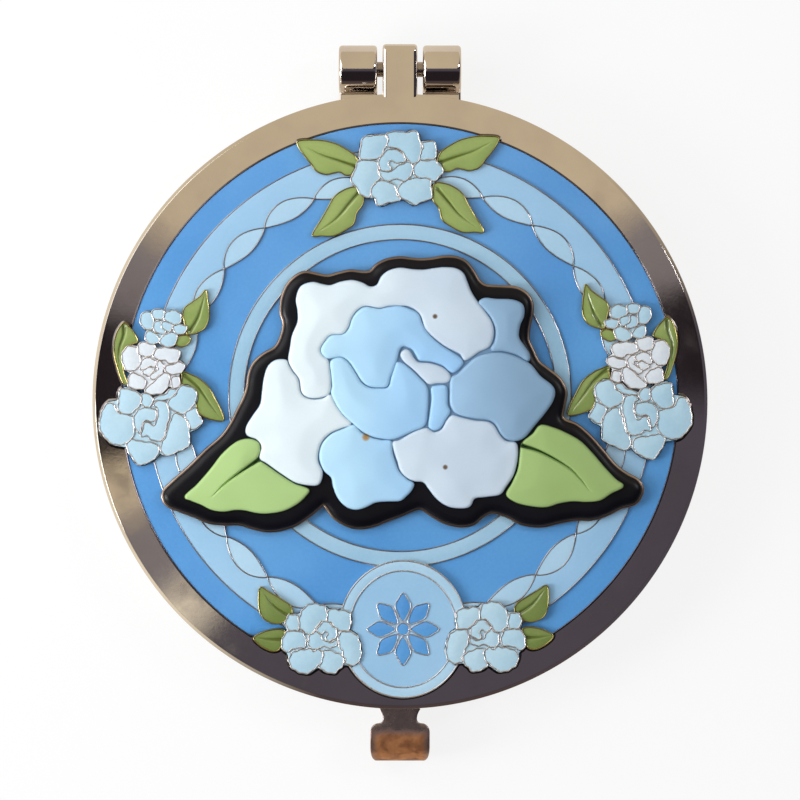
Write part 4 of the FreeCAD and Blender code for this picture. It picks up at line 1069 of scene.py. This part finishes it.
BADGE_SHEET = (0, 844, 0.020203)
BADGE_PETALS = {
    "petal_heart": [
        -362, 645, -357, 700, -352, 760, -357, 800, -337, 850, -297, 910, -242, 960, -197, 998, -147, 1024,
        -97, 1036, -42, 1040, 0, 1028, 60, 1000, 128, 968, 142, 900, 146, 830, 140, 770, 98, 720, 48, 672,
        0, 640, -20, 647, -43, 718, -60, 771, -107, 778, -157, 774, -199, 749, -229, 703, -269, 643,
        -306, 618, -344, 623],
    "petal_inner_white": [
        4, 600, 22, 577, 48, 582, 72, 620, 98, 642, 160, 648, 220, 668, 256, 700, 262, 728, 240, 746,
        190, 748, 152, 754, 122, 728, 72, 678, 22, 636],
    "petal_hood": [
        -410, 572, -387, 532, -355, 502, -297, 497, -266, 468, -246, 412, -216, 374, -177, 354, -107, 364,
        -57, 354, 0, 350, 58, 368, 96, 392, 116, 442, 147, 493, 207, 548, 278, 594, 316, 622, 326, 650,
        276, 694, 222, 656, 162, 636, 104, 630, 86, 606, 64, 572, 20, 556, -4, 578, -20, 640, -50, 716,
        -66, 764, -107, 770, -157, 765, -194, 741, -224, 696, -264, 636, -305, 611, -347, 616, -376, 620,
        -402, 600],
    "petal_right": [
        267, 722, 300, 703, 350, 654, 400, 614, 470, 594, 540, 594, 610, 614, 678, 654, 728, 714, 788, 762,
        803, 800, 788, 850, 748, 908, 698, 968, 648, 1028, 600, 1047, 552, 1037, 523, 1007, 493, 957,
        452, 937, 390, 931, 320, 916, 283, 897, 263, 858, 261, 790],
    "petal_sliver": [
        164, 774, 200, 762, 238, 764, 246, 800, 246, 860, 260, 898, 237, 938, 212, 980, 180, 994, 154, 982,
        150, 958, 158, 900, 166, 830],
    "petal_lower_right": [
        0, 1046, 60, 1010, 130, 984, 152, 991, 180, 1005, 218, 990, 244, 944, 272, 918, 320, 930, 390, 945,
        450, 950, 487, 969, 517, 1018, 550, 1051, 600, 1060, 611, 1100, 606, 1160, 587, 1228, 548, 1288,
        518, 1326, 450, 1337, 388, 1347, 363, 1387, 320, 1397, 250, 1387, 192, 1348, 152, 1298, 122, 1262,
        75, 1256, 32, 1236, 3, 1203, -10, 1160, -30, 1100, -36, 1056],
    "petal_lower_left": [
        -240, 968, -294, 988, -354, 1014, -398, 1057, -417, 1110, -413, 1160, -390, 1207, -356, 1238,
        -344, 1290, -319, 1348, -276, 1391, -227, 1404, -177, 1391, -127, 1367, -67, 1361, 0, 1358,
        34, 1332, 58, 1306, 70, 1272, 36, 1250, -2, 1214, -22, 1170, -40, 1110, -46, 1052, -97, 1046,
        -149, 1034, -200, 1008],
    "petal_left": [
        -684, 662, -645, 631, -594, 630, -580, 655, -560, 690, -530, 732, -520, 792, -494, 824, -447, 836,
        -397, 828, -361, 808, -341, 852, -301, 912, -252, 962, -300, 980, -360, 1006, -406, 1051,
        -426, 1108, -426, 1160, -406, 1206, -410, 1250, -430, 1277, -487, 1276, -547, 1261, -617, 1217,
        -687, 1167, -727, 1138, -718, 1080, -742, 1041, -794, 1017, -796, 975, -764, 920, -724, 860,
        -714, 790, -704, 720],
    "petal_crest": [
        -578, 628, -568, 560, -558, 500, -530, 430, -530, 370, -538, 310, -514, 248, -457, 226, -407, 236,
        -362, 242, -307, 224, -247, 216, -197, 229, -157, 249, -119, 240, -94, 195, -55, 165, 0, 152,
        60, 159, 120, 162, 180, 154, 230, 149, 288, 154, 327, 178, 347, 222, 367, 272, 398, 322, 437, 372,
        476, 432, 486, 490, 466, 556, 410, 586, 340, 630, 312, 596, 242, 560, 182, 515, 134, 466, 114, 408,
        92, 376, 50, 350, 0, 344, -57, 346, -107, 356, -177, 346, -220, 366, -252, 408, -272, 462,
        -300, 491, -358, 496, -392, 528, -416, 570, -406, 604, -374, 632, -366, 680, -360, 740, -366, 798,
        -397, 818, -447, 826, -490, 816, -512, 788, -522, 728, -557, 678],
    "petal_upper_right": [
        409, 332, 440, 309, 500, 314, 570, 316, 617, 328, 641, 352, 641, 400, 621, 450, 616, 510, 646, 560,
        671, 600, 666, 634, 610, 601, 540, 581, 474, 577, 494, 530, 499, 470, 474, 408, 434, 358],
    "badge_leaf_left": [
        -1118, 1338, -1055, 1278, -985, 1198, -925, 1120, -866, 1067, -816, 1043, -767, 1043, -734, 1062,
        -728, 1100, -737, 1144, -690, 1180, -620, 1229, -550, 1273, -476, 1302, -494, 1338, -538, 1377,
        -607, 1411, -687, 1424, -747, 1421, -807, 1408, -857, 1406, -917, 1414, -977, 1406, -1037, 1377,
        -1085, 1358],
    "badge_leaf_right": [
        1161, 1285, 1118, 1247, 1058, 1183, 998, 1113, 938, 1053, 870, 1013, 800, 983, 732, 969, 692, 1013,
        643, 1053, 629, 1082, 624, 1130, 614, 1200, 584, 1270, 555, 1328, 602, 1366, 680, 1386, 760, 1391,
        830, 1371, 900, 1361, 970, 1364, 1040, 1356, 1098, 1320],
}
BADGE_VEINS = {
    "badge_leaf_left": [-739, 1150, -827, 1210, -907, 1270, -967, 1330],
    "badge_leaf_right": [640, 1075, 720, 1100, 800, 1140, 880, 1190, 940, 1250, 980, 1300],
}
BADGE_WEB = [
    -568, 660, -530, 560, -490, 430, -480, 300, -300, 290, -110, 300, 0, 210, 250, 205, 330, 280, 412, 352,
    480, 350, 590, 380, 570, 500, 640, 612, 700, 720, 750, 800, 720, 890, 650, 980, 590, 1030, 565, 1100,
    550, 1200, 500, 1285, 400, 1305, 330, 1350, 250, 1335, 180, 1280, 110, 1225, 50, 1225, 10, 1290,
    -70, 1315, -150, 1340, -230, 1355, -290, 1300, -320, 1220, -380, 1150, -440, 1190, -540, 1210,
    -640, 1140, -680, 1070, -710, 980, -680, 880, -650, 780, -620, 690]
BADGE_EDGE = [
    0, 100, -67, 110, -117, 135, -152, 170, -197, 175, -257, 168, -317, 180, -377, 195, -437, 185,
    -497, 175, -547, 200, -587, 245, -612, 310, -617, 380, -602, 440, -617, 510, -647, 565, -707, 600,
    -757, 645, -782, 700, -792, 770, -812, 830, -842, 890, -877, 960, -927, 1030, -1007, 1100, -1087, 1180,
    -1177, 1260, -1227, 1310, -1232, 1350, -1207, 1385, -1147, 1410, -1067, 1440, -997, 1470, -917, 1480,
    -837, 1480, -767, 1500, -697, 1515, -627, 1510, -547, 1485, -477, 1440, -417, 1390, -400, 1374,
    -377, 1400, -337, 1450, -267, 1490, -197, 1500, -127, 1485, -67, 1460, 0, 1436, 60, 1410, 110, 1398,
    160, 1430, 230, 1470, 310, 1490, 380, 1480, 430, 1440, 480, 1418, 560, 1440, 640, 1480, 740, 1490,
    830, 1470, 920, 1455, 1000, 1455, 1080, 1430, 1150, 1395, 1220, 1375, 1250, 1340, 1260, 1295,
    1235, 1255, 1180, 1225, 1120, 1180, 1060, 1110, 990, 1030, 920, 970, 860, 945, 842, 918, 855, 850,
    860, 790, 830, 730, 770, 680, 720, 640, 690, 580, 665, 520, 670, 450, 685, 380, 680, 320, 650, 280,
    600, 255, 530, 250, 450, 245, 410, 220, 380, 170, 340, 120, 290, 98, 230, 95, 170, 105, 110, 110,
    50, 105]


PETAL_FINISH = {
    "petal_heart": ("blue_vinyl", BLUE_VINYL), "petal_hood": ("blue_vinyl", BLUE_VINYL),
    "petal_right": ("blue_vinyl", DEEP_BLUE_VINYL), "petal_sliver": ("blue_vinyl", BLUE_VINYL),
    "petal_lower_left": ("blue_vinyl", BLUE_VINYL), "petal_upper_right": ("blue_vinyl", DEEP_BLUE_VINYL),
    "badge_leaf_left": ("green_vinyl", GREEN_VINYL), "badge_leaf_right": ("green_vinyl", GREEN_VINYL),
}
OTHER_PETALS = ("white_vinyl", WHITE_VINYL)
# Growth of a moulding past its drawn outline, the height of its edge below its top, and a vein's depth
MOULDING_GROWTH, MOULDING_DROP, VEIN_DEPTH = 0.085, 0.21, 0.6


def petal_moulding(node, numbers):
    """One petal or leaf of the badge: a soft cushion, a leaf's grooved along its vein."""
    vein = BADGE_VEINS.get(node)
    groove = (smooth(drawn(BADGE_SHEET, vein), 70, closed=False), VEIN_DEPTH) if vein else None
    outline = grown(drawn_outline(BADGE_SHEET, numbers, 0.16), MOULDING_GROWTH)
    return moulded(outline, PETAL_UNDER, PETAL_TOP - MOULDING_DROP, (0.4, 0.36), swell=0.2, reach=2.6,
                   groove=groove, spacing=0.34)


# Build

piece("lid_cover", lid_cover(), "lid", "case_metal", CASE_METAL, "lid_shell")
piece("base_tray", base_tray(), "base", "case_metal", CASE_METAL, "base_shell")
piece("latch_spring", latch_spring(), "latch", "latch_metal", LATCH_METAL, "latch_tongue")
foams = [
    piece("base_foam", foam_square(FOAM_HALF, BASE_FLOOR, BASE_FLOOR + FOAM_THICK), "base", "foam", FOAM,
          "base_mirror_pad"),
    piece("lid_foam", foam_square(FOAM_HALF, LID_CEILING - FOAM_THICK, LID_CEILING), "lid", "foam", FOAM,
          "lid_mirror_pad"),
    piece("badge_foam", foam_square(BADGE_FOAM_HALF, GROUND_TOP, BADGE_UNDER), "lid", "foam", FOAM,
          "badge_pad"),
]

plate_outline = cut_round(PLAQUE_REACH, PLAQUE_CUT)
# The bed's dark edge is a painted shadow line round the plaque
plate = moulded(plate_outline, LID_TOP - 0.05, PLAQUE_TOP, (0.18, 0.36), spacing=3.0)
piece("plaque_bed", [plate], "lid", "plaque_metal", SHADOW_METAL, "plaque_plate")
border_path = cut_round(PLAQUE_REACH - BORDER, PLAQUE_CUT + BORDER)
ground = moulded(border_path, PLAQUE_TOP - 2 * SUNK, GROUND_TOP, (0.12, 0.05), spacing=1.6)
piece("ground_coat", [ground], "lid", "blue_enamel", BLUE_ENAMEL, "ground_enamel")
piece("garland_coat", [garland_band()], "lid", "pale_enamel", PALE_ENAMEL, "garland_band_enamel")
band_foot = GROUND_TOP - SUNK
lenses = [moulded(lens_outline(index), band_foot, BAND_TOP, (0.15, 0.05)) for index in range(LENSES)]
piece("ribbon_coat", lenses, "lid", "pale_enamel", RIBBON_ENAMEL, "ribbon_enamel")
ring = flat_ring(plaque_circle(RING_REACH - RING_WIDTH / 2, 240), RING_WIDTH / 2, band_foot, BAND_TOP)
piece("ring_coat", [ring], "lid", "pale_enamel", RING_ENAMEL, "inner_ring_enamel")
band_line = ridge(LINE, band_foot, BAND_TOP + 0.07)
border_line = ridge(LINE, PLAQUE_TOP - SUNK, BAND_TOP - 0.05)
line_paths = [cut_round(GARLAND_REACH, GARLAND_CUT), strand(0), strand(1),
              plaque_circle(RING_REACH, 300), plaque_circle(RING_REACH - RING_WIDTH, 280)]
plaque_lines = [carried(path, band_line) for path in line_paths]
piece("plaque_lines", plaque_lines, "lid", "plaque_metal", LINE_METAL)
piece("plaque_border", [carried(border_path, border_line)], "lid", "plaque_metal", BORDER_METAL)

fills, lines, feet = ornaments()
rim_coat, field_coat, rosette, medallion_lines, medallion_foot = medallion()
# The feet are painted shadow round the flowers, leaves and medallion
piece("ornament_feet", feet + [medallion_foot], "lid", "plaque_metal", SHADOW_METAL)
piece("ornament_lines", lines["petal"] + medallion_lines, "lid", "plaque_metal", PETAL_METAL,
      "ornament_mounts")
piece("leaf_lines", lines["leaf"], "lid", "plaque_metal", LEAF_METAL)
piece("pale_blossoms", fills["pale"], "lid", "blossom_enamel", BLOSSOM_ENAMEL, "blossom_pale_enamel")
piece("white_blossoms", fills["white"], "lid", "white_enamel", WHITE_ENAMEL, "blossom_white_enamel")
piece("leaf_coat", fills["leaf"], "lid", "green_enamel", LEAF_ENAMEL, "leaf_enamel")
piece("medallion_rim_coat", [rim_coat], "lid", "pale_enamel", RIBBON_ENAMEL, "medallion_ring_enamel")
piece("medallion_field_coat", [field_coat], "lid", "pale_enamel", PALE_ENAMEL, "medallion_disc_enamel")
piece("rosette_coat", rosette, "lid", "blue_enamel", BLUE_ENAMEL, "medallion_rosette_enamel")

edge = drawn_outline(BADGE_SHEET, BADGE_EDGE, 0.3)
tray = moulded(grown(edge, 0.26), BADGE_UNDER, BADGE_PLATE_TOP + 0.05, (0.2, 0.2), spacing=2.0)
piece("badge_tray", [tray], "lid", "badge_metal", EDGE_METAL, "badge_plate")
base = moulded(edge, BADGE_PLATE_TOP - SUNK, BACKING_TOP, (0.9, 0.5), spacing=1.0)
piece("badge_base", [base], "lid", "black_vinyl", BLACK_VINYL, "badge_backing")
# The web under the petals shows in their gaps as painted crease shade
web = moulded(drawn_outline(BADGE_SHEET, BADGE_WEB, 0.3), PETAL_UNDER, PETAL_WEB, (0.3, 0.1), spacing=1.0)
piece("petal_web", [web], "lid", "blue_vinyl", WEB_SHADE_VINYL)
for node, numbers in BADGE_PETALS.items():
    slot, material = PETAL_FINISH.get(node, OTHER_PETALS)
    piece(node + "_moulding", [petal_moulding(node, numbers)], "lid", slot, material, node)

for node, material in (("hinge_pin", PIN_METAL), ("base_mirror", GLASS), ("lid_mirror", GLASS)):
    mesh_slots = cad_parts[node].data.materials
    mesh_slots.clear()
    mesh_slots.append(material)

# Stage, light and camera

# Studio cards that the metal shows, by angle clockwise from the hinge side: overhead ones, and low ones
PALE_CARD = ink(238, 222, 198)
TAN, GREY, BLACK = ink(192, 177, 151), ink(122, 116, 118), ink(35, 30, 34)
PLUM, CREAM, BROWN = ink(76, 72, 81), ink(228, 218, 196), ink(76, 64, 64)
OVERHEAD = [
    (0, TAN), (48, TAN), (55, GREY), (66, GREY), (70, BLACK), (86, BLACK), (93, PLUM), (218, PLUM),
    (226, CREAM), (233, GREY), (245, GREY), (249, TAN), (256, TAN), (260, BLACK), (284, BLACK), (290, GREY),
    (300, GREY), (308, TAN)]
LOW = [
    (0, TAN), (40, TAN), (75, PLUM), (130, PLUM), (165, BROWN), (195, BROWN), (225, CREAM), (300, CREAM),
    (330, TAN)]
WHITE = (1, 1, 1, 1)
# Share of the floor that is plain white where it is seen, and the strength of the even light and the cards
FLOOR_WHITE, EVEN_STRENGTH, CARD_STRENGTH = 0.84, 0.36, 1.3
# Area lights: place in metres, width, height and watts
LAMPS = {
    "left_window": ((-0.105, 0.065, 0.11), 0.09, 0.14, 0.1),
    "side_window": ((-0.23, -0.05, 0.135), 0.10, 0.12, 0.5),
    "right_window": ((0.32, 0.156, 0.4), 0.05, 0.16, 0.4),
}
# Width of the view at the lid's top, the camera's height over it and its shift towards the hinge
VIEW_WIDTH, VIEW_HEIGHT, VIEW_SHIFT, SENSOR = 84.49 * MM, 0.45, 0.148 * MM, 36.0

scene = bpy.context.scene
scene.view_settings.view_transform = "Standard"

floor_mesh = bpy.data.meshes.new("floor")
floor_mesh.from_pydata([(-3, -3, 0), (3, -3, 0), (3, 3, 0), (-3, 3, 0)], [], [(0, 1, 2, 3)])
floor = bpy.data.objects.new("floor", floor_mesh)
scene.collection.objects.link(floor)


def floor_finish():
    """Pale floor: where it is seen, white to the camera and pale in reflections.

    A share of its shading is left in, which keeps the shadow.
    """
    material = bpy.data.materials.new("floor_finish")
    material.use_nodes = True
    tree = material.node_tree
    tree.nodes.clear()
    path = tree.nodes.new("ShaderNodeLightPath")
    glossy = Value(tree, path.outputs["Is Glossy Ray"])
    seen = Value(tree, path.outputs["Is Camera Ray"]) + glossy
    seen = FLOOR_WHITE * (seen + Value(tree, path.outputs["Is Transmission Ray"]))
    pale = seen.node("ShaderNodeBsdfDiffuse", None, {"Color": (0.86, 0.86, 0.86, 1)})
    tone = glossy.tint(WHITE, PALE_CARD)
    white = seen.node("ShaderNodeEmission", None, {"Color": tone, "Strength": 1.0})
    mixed = seen.node("ShaderNodeMixShader", None, {0: seen, 1: pale, 2: white})
    out = tree.nodes.new("ShaderNodeOutputMaterial")
    tree.links.new(mixed.socket, out.inputs["Surface"])
    return material


def studio_world():
    """White to the camera, even light on the object, and cards overhead, in front and low for reflections."""
    world = bpy.data.worlds.new("studio")
    scene.world = world
    world.use_nodes = True
    tree = world.node_tree
    tree.nodes.clear()
    coordinates = tree.nodes.new("ShaderNodeTexCoord")
    aim = Value(tree, coordinates.outputs["Generated"])
    turn = aim.maths("ARCTAN2", aim.part(0), aim.part(1)) / (2 * np.pi)
    share = aim.node("ShaderNodeMath", {"operation": "WRAP"}, {0: turn, 1: 1.0, 2: 0.0})

    def ring(cards):
        stops = [(angle / 360, colour) for angle, colour in cards]
        return share.node("ShaderNodeValToRGB", {"stops": stops}, {"Fac": share})

    def glow(colour, strength):
        return aim.node("ShaderNodeBackground", None, {"Color": colour, "Strength": strength})

    def blend(factor, first, second):
        return aim.node("ShaderNodeMixShader", None, {0: factor, 1: first, 2: second})

    front = (0 - aim.part(1)).over(0.12, 0.3)
    high = front.tint(ring(OVERHEAD), BLACK)
    cards = aim.part(2).over(0.40, 0.54).tint(ring(LOW), high)
    path = tree.nodes.new("ShaderNodeLightPath")
    glossy = Value(tree, path.outputs["Is Glossy Ray"])
    straight = Value(tree, path.outputs["Is Camera Ray"]) + Value(tree, path.outputs["Is Transmission Ray"])
    lit = blend(glossy, glow((0.97, 0.98, 1.0, 1.0), EVEN_STRENGTH), glow(cards, CARD_STRENGTH))
    whole = blend(straight, lit, glow(WHITE, 1.0))
    out = tree.nodes.new("ShaderNodeOutputWorld")
    tree.links.new(whole.socket, out.inputs["Surface"])


def soft_light(name, place, wide, tall, watts):
    """Area light at a place in metres, turned towards the plaque."""
    data = bpy.data.lights.new(name, "AREA")
    data.shape, data.size, data.size_y, data.energy = "RECTANGLE", wide, tall, watts
    lamp = bpy.data.objects.new(name, data)
    scene.collection.objects.link(lamp)
    lamp.location = place
    plaque = Vector((0, 0, 7 * MM))
    lamp.rotation_euler = (plaque - Vector(place)).to_track_quat("-Z", "Y").to_euler()


floor_mesh.materials.append(floor_finish())
studio_world()
for lamp_name, settings in LAMPS.items():
    soft_light(lamp_name, *settings)

camera_data = bpy.data.cameras.new("camera")
camera_data.sensor_fit, camera_data.sensor_width = "HORIZONTAL", SENSOR
camera_data.lens = SENSOR * VIEW_HEIGHT / VIEW_WIDTH
camera = bpy.data.objects.new("camera", camera_data)
scene.collection.objects.link(camera)
camera.location = (0.0, VIEW_SHIFT, LID_TOP * MM + VIEW_HEIGHT)
scene.camera = camera
